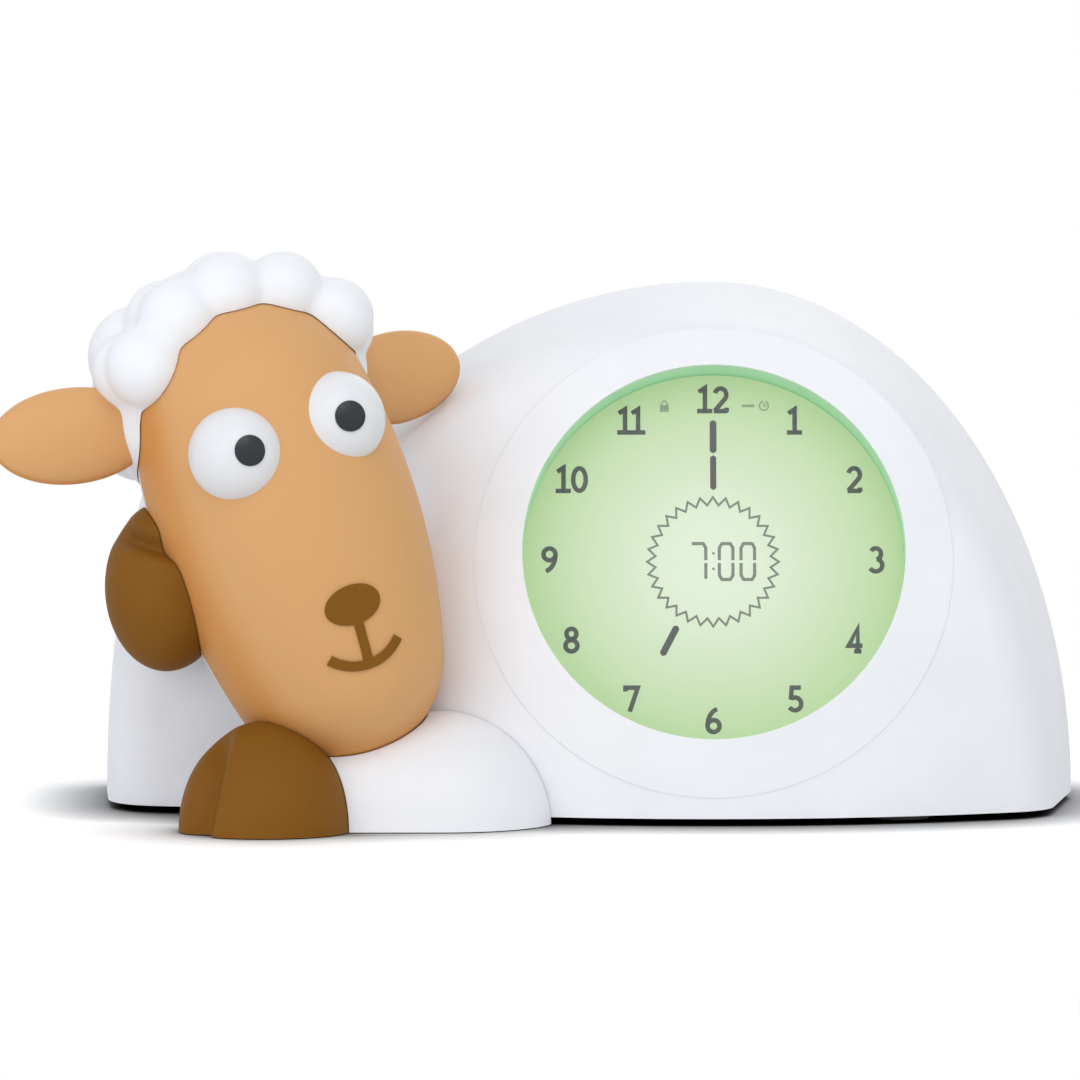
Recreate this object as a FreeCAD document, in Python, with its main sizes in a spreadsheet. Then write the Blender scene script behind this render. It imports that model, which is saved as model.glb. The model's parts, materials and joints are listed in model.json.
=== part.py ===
import FreeCAD, Part
import math
import os
import re

import Sketcher

# Bedside clock with night light, shaped as a lying sheep.
# Millimetres. +X is the viewer's right, +Y the back, +Z up.
# The origin is at the bottom centre: the feet stand on Z = 0.

SIZES = [
    # Body shells
    ("base_z", 1.5, "underside of the body above the floor, the feet's height"),
    ("wall", 2.2, "moulded wall"),
    ("split_y", 29, "parting plane between front and rear shell"),
    ("dome_x", 38.3, "crest of the dome and centre of the dial"),
    ("dome_right", 81.5, "reach of the dome to the right of its crest"),
    ("dome_left", 109.5, "reach of the dome to the left of its crest"),
    ("dome_height", 115, "height of the dome above its base"),
    ("front_radius", 150, "radius of the dome's front"),
    ("edge_round", 16, "rounding of the dome's outer edges"),
    ("chest_x", -67.7, "middle of the chest"),
    ("chest_half", 30, "half width of the chest"),
    ("chest_height", 98, "height of the chest above its base"),
    ("chest_front_radius", 72, "radius of the chest's front"),
    ("chest_front_y", -22, "foremost point of the chest"),
    ("chest_front_z", 42, "height of the chest's foremost point"),
    ("chest_round", 13, "rounding of the chest's front edges"),
    ("chest_rear_round", 7, "rounding of the chest's rear edges"),
    ("front_draft", 0.15, "share by which the front outline shrinks along its loft"),
    ("rear_draft", 0.08, "share by which the rear outline shrinks along its loft"),
    ("loft_reach", 82, "length of an outline's loft from the parting plane"),
    ("rear_y", 65, "rear wall at its base"),
    ("rear_lean", 8, "angle by which the rear wall leans forward"),
    ("part_gap", 0.2, "gap between the two shells"),
    ("fit", 0.3, "clearance of a seated piece"),
    ("boss_radius", 3.6, "screw boss"),
    ("shank_radius", 1.3, "screw shank"),
    ("head_radius", 2.6, "screw head"),
    ("screw_head", 1.8, "height of a screw head"),
    ("screw_length", 14, "shank of a screw"),
    ("well_wall", 1.6, "wall of a screw well"),
    ("well_floor", 5, "floor of a screw well behind the parting plane"),
    ("boss_low_z", 16, "lower screws"),
    ("boss_left_x", -76, "lower left screw"),
    ("boss_right_x", 96, "lower right screw"),
    ("boss_high_z", 103, "upper screws"),
    ("boss_high_left", 12, "upper left screw"),
    ("boss_high_right", 59, "upper right screw"),
    ("boss_rib", 2.4, "rib between an upper boss and the top wall"),
    ("boss_high_length", 18, "upper bosses of the front shell"),
    ("floor_screw_y", 8, "screws of the base plate"),
    ("floor_head", 1.1, "head height of the base plate's screws"),
    # Base plate and feet
    ("plate", 2.0, "thickness of the base plate"),
    ("foot_radius", 6, "rubber foot"),
    ("foot_left_x", -62, "left feet"),
    ("foot_right_x", 80, "right feet"),
    ("foot_left_y", 0, "front left foot"),
    ("foot_right_y", -18, "front right foot"),
    ("foot_rear_y", 46, "rear feet"),
    ("rail_length", 76, "rail that holds the main board"),
    ("rail_height", 6, "rail above the base plate"),
    ("rail_wall", 1.8, "wall of the rail on each side of its slot"),
    # Dial, along the axis of its leaning front
    ("face_y", -33, "foremost point of the dome's front"),
    ("face_z", 59.6, "height of the dial's centre on the front"),
    ("face_lean", 15.5, "angle by which the dial leans back"),
    ("dial_rise", 1.8, "opening and display above the ring's centre"),
    ("ring_radius", 52.8, "outer radius of the dial ring"),
    ("groove", 0.15, "gap around the dial ring"),
    ("window_radius", 42.2, "opening of the dial"),
    ("lip", 1.4, "thickness of the ring's inner lip"),
    ("ring_back", 11.4, "back of the ring behind the front's apex"),
    ("ledge", 2.2, "thickness of the ledge behind the ring"),
    ("ledge_inner", 48, "inner radius of the ledge"),
    ("ledge_outer", 54.4, "outer radius of the ledge"),
    ("light_wall", 1.6, "wall of the lit ring inside the opening"),
    ("lens_depth", 18, "front of the window behind the front's apex"),
    ("lens_thick", 1.2, "window"),
    ("lens_radius", 45.5, "window"),
    ("carrier_radius", 49, "outer radius of the display carrier"),
    ("carrier_flange", 51.8, "flange of the display carrier"),
    ("carrier_screw", 0.8, "shank radius of the carrier's screws"),
    ("glass_radius", 47, "corner radius of the eight sided display glass"),
    ("glass_thick", 2.8, "display glass"),
    ("diffuser_thick", 2.9, "diffuser behind the glass"),
    ("spacer_height", 3, "light chamber between diffuser and lamp board"),
    ("board", 1.6, "thickness of a circuit board"),
    ("lamp_ring", 30, "radius on which the lamps sit"),
    ("lamp_size", 3.5, "side of a lamp"),
    ("lamp_height", 1.4, "height of a lamp"),
    ("lamp_count", 8, "number of lamps"),
    # Main board
    ("main_y", 16, "front of the main board"),
    ("main_x", 40, "middle of the main board"),
    ("main_width", 70, "main board"),
    ("main_height", 62, "main board"),
    ("chip_size", 14, "controller"),
    ("chip_height", 1.6, "controller"),
    ("plug_width", 9, "board connector"),
    ("plug_height", 5, "board connector"),
    ("plug_depth", 6, "board connector"),
    ("can_radius", 4, "capacitor"),
    ("can_height", 9, "capacitor"),
    # Rear controls, from the foot of the rear wall, seen from behind
    ("door_x", -14, "battery door's middle"),
    ("door_y", 34, "battery door's middle"),
    ("door_width", 66, "battery opening"),
    ("door_height", 52, "battery opening"),
    ("door_lid", 2.0, "thickness of the battery door"),
    ("bay_length", 62, "pocket of the battery box"),
    ("bay_height", 44, "pocket of the battery box"),
    ("bay_low", 2, "pocket's middle below the door's middle"),
    ("bay_rim", 2, "battery box beyond the opening"),
    ("door_screw_down", 3, "door screw below the opening's top"),
    ("grip_length", 18, "finger groove of the battery door"),
    ("grip_height", 3, "finger groove of the battery door"),
    ("grip_depth", 0.6, "finger groove of the battery door"),
    ("pin_radius", 0.6, "hinge pin of the battery door"),
    ("pin_length", 1.6, "hinge pin of the battery door"),
    ("cell_radius", 7.1, "battery cell"),
    ("cell_length", 49.2, "battery cell without its nub"),
    ("cell_pitch", 14.6, "battery cells, middle to middle"),
    ("nub_radius", 2.75, "nub of a battery cell"),
    ("nub_height", 1.0, "nub of a battery cell"),
    ("bay_wall", 1.6, "wall of the battery box"),
    ("contact", 0.5, "battery contact plate"),
    ("key_left", 13, "first column of buttons beside the battery box"),
    ("key_pitch_x", 16, "columns of buttons"),
    ("key_low", 33, "lowest row of buttons"),
    ("key_pitch_y", 15.5, "rows of buttons"),
    ("key_radius", 4.8, "button"),
    ("key_out", 1.4, "button above the rear wall"),
    ("key_travel", 1.0, "travel of a button"),
    ("stem_radius", 2.2, "stem of a button"),
    ("flange", 1.0, "width and height of a button's flange"),
    ("lamp_key_x", -18, "night light button"),
    ("lamp_key_y", 77.5, "night light button"),
    ("lamp_key_radius", 9.5, "night light button"),
    ("keyboard_gap", 10, "control boards behind the rear wall's outer face"),
    ("keyboard_width", 34, "control board"),
    ("keyboard_height", 51, "control board"),
    ("keyboard_x", 21, "middle of the control board beside the battery box"),
    ("keyboard_y", 47.5, "middle of the control board"),
    ("lamp_board", 27, "side of the night light button's board"),
    ("post_radius", 1.9, "post of a control board"),
    ("post_inset", 2.3, "posts from the edge of their board"),
    ("power_gap", 12, "power board behind the rear wall's outer face"),
    ("power_width", 40, "power board"),
    ("power_height", 16, "power board"),
    ("power_x", 21.5, "middle of the power board beside the battery box"),
    ("switch_side", 6, "side of a push switch"),
    ("switch_height", 3.4, "height of a push switch"),
    ("slide_x", 29, "slide switch beside the battery box"),
    ("slide_length", 12, "body of the slide switch"),
    ("slide_height", 4, "body of the slide switch"),
    ("slide_travel", 4, "travel of the slide switch"),
    ("slide_knob", 4, "side of the slide switch's knob"),
    ("jack_x", 13, "power inlet beside the battery box"),
    ("jack_y", 14.5, "power inlet, slide switch and power board"),
    ("jack_side", 10, "body of the power inlet"),
    ("jack_radius", 4.2, "nose of the power inlet"),
    ("jack_bore", 3.1, "bore of the power inlet"),
    ("jack_pin", 1.0, "pin of the power inlet"),
    ("jack_depth", 9, "depth of the power inlet's bore"),
    ("speaker_x", 14, "speaker"),
    ("speaker_y", 83, "speaker"),
    ("speaker_radius", 12, "speaker frame"),
    ("speaker_depth", 7, "speaker with its magnet"),
    ("speaker_rim", 1.2, "rim of the speaker frame"),
    ("magnet_height", 2, "magnet of the speaker"),
    ("cone_wall", 0.5, "speaker cone"),
    ("grille_width", 1.5, "slot of the speaker grille"),
    ("grille_pitch", 3.2, "slots of the speaker grille"),
    # Head, along its own leaning axis
    ("head_x", -55.8, "middle of the head"),
    ("head_y", -33, "middle of the head"),
    ("head_z", 67.6, "middle of the head"),
    ("head_turn", 20, "head turned to the viewer's right"),
    ("head_tilt", -17, "crown tilted to the viewer's left"),
    ("head_nod", -8, "crown tilted back"),
    ("head_half", 29, "largest half width of the head"),
    ("head_side", 140, "radius of the head's long sides"),
    ("crown_radius", 26.5, "rounding of the crown"),
    ("chin_radius", 24.5, "rounding of the chin"),
    ("head_split", 4, "parting of face and back of the head"),
    ("eye_side", 12, "eyes from the middle of the face"),
    ("eye_up", 17, "eyes above the head's middle"),
    ("eye_in", 20.5, "centre of an eye's ball before the head's axis"),
    ("eye_radius", 10.6, "eye"),
    ("pupil_radius", 3.4, "pupil"),
    ("pupil_rise", 0.4, "pupil above the eye"),
    ("inlay", 0.5, "nose and mouth above the face"),
    ("inlay_width", 2.1, "line of nose and mouth"),
    ("smile_radius", 12.5, "outer radius of the mouth line"),
    ("smile_angle", 92, "opening angle of the mouth line"),
    ("smile_up", -24, "centre of the mouth's curve"),
    ("nose_up", -22, "nose above the head's middle"),
    ("nose_half", 6.6, "half width of the nose"),
    ("nose_height", 4.4, "half height of the nose"),
    ("lump_radius", 11.5, "wool lump"),
    ("lump_out", 20.5, "wool lumps from the middle of the wool"),
    ("wool_core", 27.5, "ball under the wool lumps"),
    ("wool_up", 31, "middle of the wool above the head's middle"),
    ("wool_back", 12.8, "middle of the wool behind the head's axis"),
    ("fringe_radius", 10.5, "wool lump over the forehead"),
    ("fringe_out", 25, "wool lumps of the forehead from the crown's centre"),
    ("fringe_rise", 50, "angle of those lumps above the crown's centre"),
    ("ear_half", 18.5, "half length of an ear"),
    ("ear_width", 10.6, "half width of an ear"),
    ("ear_thick", 5, "half thickness of an ear"),
    ("ear_side", 39, "middle of the left ear from the head's axis"),
    ("ear_up", 32, "middle of the left ear above the head's middle"),
    ("ear_back", 4, "middle of the left ear behind the head's axis"),
    ("far_ear_side", 41.5, "middle of the right ear from the head's axis"),
    ("far_ear_up", 21, "middle of the right ear above the head's middle"),
    ("far_ear_back", 17, "middle of the right ear behind the head's axis"),
    ("ear_lift_left", 12, "tip of the left ear raised"),
    ("ear_lift_right", -4, "tip of the right ear raised"),
    # Legs
    ("leg_radius", 24.5, "lying foreleg"),
    ("leg_y", -28, "middle of the lying foreleg"),
    ("leg_left", -62, "left end of the foreleg's straight stretch"),
    ("leg_end", -21.5, "centre of the foreleg's rounded end"),
    ("leg_z", 0, "underside of the foreleg and the front hoof"),
    ("hoof_x", -60.2, "middle of the front hoof"),
    ("hoof_half", 18.8, "half width of the front hoof"),
    ("hoof_depth", 18.5, "half depth of the front hoof"),
    ("hoof_y", -48.5, "middle of the front hoof"),
    ("hoof_height", 24, "front hoof"),
    ("cleft", 2, "half width of the cleft in a hoof"),
    ("cleft_lean", 15, "lean of the cleft in the hoof at the cheek"),
    ("paw_x", -82, "middle of the hoof at the cheek"),
    ("paw_y", -31, "middle of the hoof at the cheek"),
    ("paw_z", 52.5, "middle of the hoof at the cheek"),
    ("paw_half", 13.5, "half width of the hoof at the cheek"),
    ("paw_depth", 15, "half depth of the hoof at the cheek"),
    ("paw_height", 18.7, "half height of the hoof at the cheek"),
]

NAMES = {name for name, value, note in SIZES}

doc = FreeCAD.newDocument("sheep_clock")
sheet = doc.addObject("Spreadsheet::Sheet", "Sizes")
for row, (name, value, note) in enumerate(SIZES, start=1):
    sheet.set(f"A{row}", name)
    sheet.set(f"B{row}", str(value))
    sheet.set(f"C{row}", note)
    sheet.setAlias(f"B{row}", name)
doc.recompute()

PARTS = {}


def bound(text):
    """Turn the sizes named in an expression into references to the sheet."""
    def refer(word):
        name = word.group(0)
        return f"Sizes.{name}" if name in NAMES else name
    return re.sub(r"[A-Za-z_]\w*", refer, str(text))


def size(name):
    return float(sheet.get(name))


def place(x=0, y=0, z=0, yaw=0, pitch=0, roll=0, frame=""):
    """A placement as an expression, in the world or in one of the leaning frames."""
    text = f"placement(vector({x}; {y}; {z}); rotation({yaw}; {pitch}; {roll}))"
    return f"{frame} * {text}" if frame else text


DIAL = place("dome_x", "face_y", "face_z", roll="90 - face_lean")
OPEN = DIAL + " * " + place(y="dial_rise")
REAR = place("dome_x", "rear_y", "base_z", yaw=180, roll="90 - rear_lean")
HEAD = place("head_x", "head_y", "head_z", "head_turn", "head_tilt", "head_nod")


def solid(kind, name, where, **sizes):
    made = doc.addObject(kind, name)
    for key, text in sizes.items():
        made.setExpression(key, bound(text))
    made.setExpression("Placement", bound(where))
    return made


def box(name, x, y, z, length, width, height, frame=""):
    """A box centred on x and y, with its lower face at z."""
    where = place(f"{x} - ({length}) / 2", f"{y} - ({width}) / 2", z, frame=frame)
    return solid("Part::Box", name, where, Length=length, Width=width, Height=height)


def cylinder(name, radius, height, where):
    return solid("Part::Cylinder", name, where, Radius=radius, Height=height)


def ball(name, radius, where):
    return solid("Part::Sphere", name, where, Radius=radius)


def ellipsoid(name, x_half, y_half, z_half, where):
    return solid("Part::Ellipsoid", name, where, Radius2=x_half, Radius3=y_half, Radius1=z_half)


def fuse(name, *pieces):
    made = doc.addObject("Part::MultiFuse", name)
    made.Shapes = list(pieces)
    made.Refine = True
    return made


def common(name, *pieces):
    made = doc.addObject("Part::MultiCommon", name)
    made.Shapes = list(pieces)
    made.Refine = True
    return made


def cut(name, base, *tools):
    tool = tools[0] if len(tools) == 1 else fuse(f"{name}_tools", *tools)
    made = doc.addObject("Part::Cut", name)
    made.Base = base
    made.Tool = tool
    made.Refine = True
    return made


def group(name, pieces):
    made = doc.addObject("Part::Compound", name)
    made.Links = list(pieces)
    return made


def keep(node, made):
    """Register a finished sub-part under the name of its file."""
    made.Label = node
    PARTS[node] = made
    return made


def tube(name, outer, inner, low, high, frame):
    """A ring between two heights along the axis of its frame."""
    skin = cylinder(f"{name}_outer", outer, f"{high} - ({low})", place(z=low, frame=frame))
    bore = cylinder(f"{name}_bore", inner, f"{high} - ({low}) + 2", place(z=f"{low} - 1", frame=frame))
    return cut(name, skin, bore)


# Body outlines and shells


def half_oval(name, middle, right, left, height, y, drop):
    """An outline that stands on the base: a flat foot and a quarter ellipse on each side."""
    foot = size("base_z") - drop
    top = FreeCAD.Vector(middle, y, foot + height)
    centre = FreeCAD.Vector(middle, y, foot)
    arcs = []
    for reach in (right, -left):
        side = FreeCAD.Vector(middle + reach, y, foot)
        first, second = (top, side) if height > abs(reach) else (side, top)
        oval = Part.Ellipse(first, second, centre)
        start, end = oval.parameter(first), oval.parameter(second)
        if end > math.pi:
            start, end = end - 2 * math.pi, start
        arcs.append(Part.ArcOfEllipse(oval, start, end).toShape())
    base = Part.makeLine(FreeCAD.Vector(middle - left, y, foot), FreeCAD.Vector(middle + right, y, foot))
    made = doc.addObject("Part::Feature", name)
    made.Shape = Part.Wire(Part.__sortEdges__(arcs + [base]))
    return made


def outline_loft(name, middle, right, left, height, inset, backwards, gap):
    """A drafted loft from the parting plane; a grown one reaches below the foot."""
    sign = 1 if backwards else -1
    draft = size("rear_draft") if backwards else size("front_draft")
    start = size("split_y") + gap
    drop = 2 * size("base_z") if inset < 0 else 0
    rings = []
    for step in (0, 1):
        reach = [(1 - step * draft) * length - inset for length in (right, left, height)]
        reach[-1] += drop
        depth = start + sign * step * size("loft_reach")
        rings.append(half_oval(f"{name}_ring{step}", middle, *reach, depth, drop))
    made = doc.addObject("Part::Loft", name)
    made.Sections = rings
    made.Solid = True
    made.Ruled = True
    return made


def is_sphere(face):
    return isinstance(face.Surface, Part.Sphere)


def is_leaning_plane(face):
    if not isinstance(face.Surface, Part.Plane):
        return False
    return abs(face.Surface.Axis.z) > 0.05 and abs(face.Surface.Axis.y) > 0.5


def rounded(name, base, radius, on_limit):
    """Round the edges where a loft meets the surface that limits it, above the foot."""
    doc.recompute()
    limits = [face for face in base.Shape.Faces if on_limit(face)]
    chosen = []
    for index, edge in enumerate(base.Shape.Edges, start=1):
        if edge.Degenerated or edge.CenterOfMass.z < size("base_z") + 1:
            continue
        if any(edge.isSame(other) for face in limits for other in face.Edges):
            chosen.append((index, radius, radius))
    made = doc.addObject("Part::Fillet", name)
    made.Base = base
    made.Edges = chosen
    return made


LUMPS = {
    "dome": ("dome_x", "dome_right", "dome_left", "dome_height", "edge_round", "edge_round"),
    "chest": ("chest_x", "chest_half", "chest_half", "chest_height", "chest_round", "chest_rear_round"),
}


def body_half(tag, inset, backwards, gap=0):
    """Dome and chest fused, drawn in by an inset from their outer faces."""
    lumps = []
    for part, (middle, right, left, height, front_edge, rear_edge) in LUMPS.items():
        name = f"{part}_{tag}"
        lengths = [size(key) for key in (middle, right, left, height)]
        loft = outline_loft(f"{name}_loft", *lengths, inset, backwards, gap)
        if backwards:
            where = place("-2 * loft_reach", "-2 * loft_reach", f"-loft_reach - ({inset})", frame=REAR)
            limit = solid("Part::Box", f"{name}_limit", where, Length="4 * loft_reach",
                          Width="4 * loft_reach",
                          Height="loft_reach")
        elif part == "dome":
            where = place(z="-front_radius", frame=DIAL)
            limit = ball(f"{name}_limit", f"front_radius - ({inset})", where)
        else:
            where = place("chest_x", "chest_front_y + chest_front_radius", "chest_front_z")
            limit = ball(f"{name}_limit", f"chest_front_radius - ({inset})", where)
        block = common(f"{name}_block", loft, limit)
        test = is_leaning_plane if backwards else is_sphere
        edge = rear_edge if backwards else front_edge
        lumps.append(rounded(name, block, size(edge) - inset, test))
    return fuse(f"body_{tag}", *lumps)


WALL = size("wall")
FIT = size("fit")
front_outer = body_half("front_outer", 0, False)
front_inner = body_half("front_inner", WALL, False)
front_fit = body_half("front_fit", WALL + FIT, False)
front_clear = body_half("front_clear", -FIT, False)
rear_outer = body_half("rear_outer", 0, True, size("part_gap"))
rear_inner = body_half("rear_inner", WALL, True, size("part_gap"))
rear_fit = body_half("rear_fit", WALL + FIT, True)

SCREWS = {
    "left": ("boss_left_x", "boss_low_z"),
    "right": ("boss_right_x", "boss_low_z"),
    "high_left": ("boss_high_left", "boss_high_z"),
    "high_right": ("boss_high_right", "boss_high_z"),
}
LOW_SCREWS = ("left", "right")
DEEP = "2 * loft_reach"
PLATE_TOP = "base_z + plate"


def along_y(name, radius, x, z, start, end):
    """A cylinder along Y between two depths."""
    return cylinder(name, radius, f"{end} - ({start})", place(x, start, z, roll=-90))


def carrier_seats(depth):
    """Four screw places around the display carrier's flange, facing backwards."""
    radius = "(carrier_radius + carrier_flange) / 2"
    turns = [45 + 90 * index for index in range(4)]
    return [place(f"{radius} * cos({turn})", f"{radius} * sin({turn})", f"-({depth})", pitch=180,
                  frame=OPEN)
            for turn in turns]


def carrier_holes(name, radius):
    """Holes for those screws, through the ledge and the flange behind it."""
    return [cylinder(f"{name}_{index}", radius, "2 * ledge", seat) for index, seat in
            enumerate(carrier_seats("ring_back + ledge * 0.2"))]


# Front shell: shell, ledge behind the dial ring, screw bosses


def front_shell():
    shell = cut("front_skin", front_outer, front_inner)
    ledge = tube("ledge", "ledge_outer", "ledge_inner", "-ring_back - ledge", "-ring_back", DIAL)
    bosses = [ledge]
    holes = []
    for key, (x, z) in SCREWS.items():
        start = "split_y - loft_reach" if key in LOW_SCREWS else "split_y - boss_high_length"
        bosses.append(along_y(f"boss_{key}", "boss_radius", x, z, start, "split_y"))
        if key not in LOW_SCREWS:
            bosses.append(box(f"rib_{key}", x, "split_y - boss_high_length / 2", z, "boss_rib",
                              "boss_high_length",
                              "dome_height / 4"))
        holes.append(along_y(f"pilot_{key}", "shank_radius", x, z, "split_y - screw_length", "split_y + 1"))
        if key in LOW_SCREWS:
            foot = place(x, "floor_screw_y", PLATE_TOP + " + part_gap")
            bosses.append(cylinder(f"post_{key}", "boss_radius", f"{z} - ({PLATE_TOP} + part_gap)", foot))
            start = place(x, "floor_screw_y", "base_z")
            holes.append(cylinder(f"floor_pilot_{key}", "shank_radius", "screw_length * 0.6", start))
    inside = common("front_bosses", fuse("front_boss_set", *bosses), front_outer)
    floor = solid("Part::Box", "front_floor",
                  place("-2 * loft_reach", "split_y - 2 * loft_reach", "-loft_reach"),
                  Length="4 * loft_reach", Width="4 * loft_reach",
                  Height=f"loft_reach + {PLATE_TOP} + part_gap")
    clear = cut("front_bosses_cut", inside, floor)
    hole = cylinder("ring_hole", "ring_radius + groove", "ring_back * 2", place(z="-ring_back", frame=DIAL))
    opening = cylinder("ledge_hole", "ledge_inner", "ring_back * 3", place(z="-ring_back * 2", frame=OPEN))
    holes += carrier_holes("ledge_pilot", "carrier_screw")
    whole = fuse("front_whole", shell, clear)
    return keep("front_shell", cut("front_shell", whole, hole, opening, *holes))


# Rear shell: shell, screw wells, board posts, speaker collar and all openings

BESIDE = "(door_x + door_width / 2 + bay_rim)"
KEYS = [(f"{BESIDE} + key_left + {col} * key_pitch_x", f"key_low + {row} * key_pitch_y") for col in (0,
                                                                                          1) for row in (0,
                                                                                                         1,
                                                                                                         2)]
LAMP_KEY = ("lamp_key_x", "lamp_key_y")
KEY_NAMES = ("hour_button", "minute_button", "alarm_button", "volume_button", "snooze_button", "nap_button")
BOARDS = {
    "control": (f"{BESIDE} + keyboard_x", "keyboard_y", "keyboard_width", "keyboard_height", "keyboard_gap",
                (-1, 1),
                (-1, 1)),
    "lamp": ("lamp_key_x", "lamp_key_y", "lamp_board", "lamp_board", "keyboard_gap", (-1, 1), (-1, 1)),
    "power": (f"{BESIDE} + power_x", "jack_y", "power_width", "power_height", "power_gap", (-1, 1), (0,)),
}


def board_posts():
    posts = []
    for key, (x, y, width, height, gap, sides, levels) in BOARDS.items():
        for side in sides:
            for level in levels:
                at_x = f"{x} + {side} * ({width} / 2 - post_inset)"
                at_y = f"{y} + {level} * ({height} / 2 - post_inset)"
                where = place(at_x, at_y, f"-{gap}", frame=REAR)
                posts.append(cylinder(f"{key}_post_{len(posts)}", "post_radius", f"{gap} - wall / 2",
                                      where))
    return posts


def grille_slots():
    """Slots whose ends follow the round of the speaker."""
    slots = []
    for step in range(-2, 3):
        reach = "speaker_radius - 2"
        length = f"2 * sqrt(({reach})^2 - ({step} * grille_pitch)^2)"
        slots.append(box(f"slot_{step + 2}", f"speaker_x + {step} * grille_pitch", "speaker_y", "-wall - 1",
                         "grille_width", length, "wall + 2", REAR))
    return slots


def rear_shell():
    shell = cut("rear_skin", rear_outer, rear_inner)
    wells = []
    holes = []
    for key, (x, z) in SCREWS.items():
        start = "split_y + part_gap"
        wells.append(along_y(f"well_{key}", "head_radius + fit + well_wall", x, z, start,
                             "split_y + loft_reach"))
        if key not in LOW_SCREWS:
            wells.append(box(f"well_rib_{key}", x, f"{start} + loft_reach / 2", z, "boss_rib", "loft_reach",
                             "dome_height / 4"))
        holes.append(along_y(f"well_bore_{key}", "head_radius + fit", x, z, "split_y + well_floor",
                             "split_y + loft_reach"))
        holes.append(along_y(f"well_shank_{key}", "shank_radius + fit", x, z, "split_y",
                             "split_y + loft_reach"))
    seat = place("speaker_x", "speaker_y", frame=REAR)
    collar = tube("speaker_collar", "speaker_radius + fit + well_wall", "speaker_radius + fit",
                  "-wall - speaker_rim - 2 * fit", "-wall / 2", seat)
    inside = common("rear_wells", fuse("rear_well_set", collar, *wells, *board_posts()), rear_outer)
    whole = fuse("rear_whole", shell, inside)
    holes.append(box("door_hole", "door_x", "door_y", "-wall - 1", "door_width", "door_height", "wall + 2",
                     REAR))
    for index, (x, y) in enumerate(KEYS):
        where = place(x, y, "-wall - 1", frame=REAR)
        holes.append(cylinder(f"key_hole_{index}", "key_radius + fit", "wall + 2", where))
    where = place(*LAMP_KEY, "-wall - 1", frame=REAR)
    holes.append(cylinder("lamp_key_hole", "lamp_key_radius + fit", "wall + 2", where))
    holes.append(box("slide_hole", f"{BESIDE} + slide_x", "jack_y", "-wall - 1",
                     "slide_knob + slide_travel + 2 * fit",
                     "slide_knob + 2 * fit", "wall + 2", REAR))
    where = place(f"{BESIDE} + jack_x", "jack_y", "-wall - 1", frame=REAR)
    holes.append(cylinder("jack_hole", "jack_radius + fit", "wall + 2", where))
    where = place("door_x - door_width / 2 - pin_length - fit",
                  "door_y - door_height / 2 + fit + door_lid / 2",
                  "-wall / 2", pitch=90, frame=REAR)
    holes.append(cylinder("hinge_hole", "pin_radius + fit / 2", "door_width + 2 * (pin_length + fit)",
                          where))
    return keep("rear_shell", cut("rear_shell", whole, *holes, *grille_slots()))


front_shell()
rear_shell()


def screw_group(node, places, shank, head_height, length, head_radius="head_radius"):
    """Identical screws in one group; each place is the seat under a head, the shank along its -Z."""
    screws = []
    for index, where in enumerate(places):
        head = cylinder(f"{node}_head_{index}", head_radius, head_height, where)
        below = place(z=f"-({length})", frame=where)
        body = cylinder(f"{node}_shank_{index}", shank, length, below)
        screws.append(fuse(f"{node}_{index}", head, body))
    return keep(node, group(node, screws))


def shell_screws():
    seats = [place(x, "split_y + well_floor", z, roll=-90) for x, z in SCREWS.values()]
    return screw_group("shell_screws", seats, "shank_radius", "screw_head", "well_floor + screw_length - 1")


shell_screws()


# Base plate with its rail for the main board, feet and screws


def base_plate():
    slab = solid("Part::Box", "plate_slab", place("-2 * loft_reach", "split_y - 2 * loft_reach", "base_z"),
                 Length="4 * loft_reach", Width="4 * loft_reach", Height="plate")
    fitted = common("plate_fitted", fuse("body_fit", front_fit, rear_fit), slab)
    rail_width = "board + 2 * fit + 2 * rail_wall"
    rail = box("rail", "main_x", "main_y + board / 2", f"{PLATE_TOP}", "rail_length", rail_width,
               "rail_height")
    slot = box("rail_slot", "main_x", "main_y + board / 2", f"{PLATE_TOP} + 2", "rail_length + 2",
               "board + 2 * fit",
               "rail_height")
    holes = [slot]
    for key in LOW_SCREWS:
        where = place(SCREWS[key][0], "floor_screw_y", "base_z - 1")
        holes.append(cylinder(f"plate_hole_{key}", "shank_radius + fit", "plate + 2", where))
    return keep("base_plate", cut("base_plate", fuse("plate_rail", fitted, rail), *holes))


def feet():
    pads = []
    for side in ("left", "right"):
        for y in (f"foot_{side}_y", "foot_rear_y"):
            where = place(f"foot_{side}_x", y, 0)
            pads.append(cylinder(f"foot_{len(pads)}", "foot_radius", "base_z", where))
    return keep("rubber_feet", group("rubber_feet", pads))


base_plate()
feet()
seats = [place(SCREWS[key][0], "floor_screw_y", "base_z", pitch=180) for key in LOW_SCREWS]
screw_group("base_screws", seats, "shank_radius", "floor_head", "screw_length * 0.55")


# Dial: ring, lit ring, window, carrier, glass, diffuser, lamps


def dial_ring():
    low = "-ring_back"
    blank = cylinder("ring_blank", "ring_radius", "ring_back", place(z=low, frame=DIAL))
    bore = cylinder("ring_bore", "window_radius", "2 * ring_back", place(z=low, frame=OPEN))
    skin = ball("ring_skin", "front_radius", place(z="-front_radius", frame=DIAL))
    rim = "front_radius - sqrt(front_radius^2 - window_radius^2)"
    where = place(z=low, frame=OPEN)
    seat = cylinder("ring_seat", "window_radius + light_wall + part_gap", f"ring_back - ({rim}) - lip",
                    where)
    return keep("dial_ring", cut("dial_ring", common("ring_round", blank, skin), seat, bore))


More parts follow.
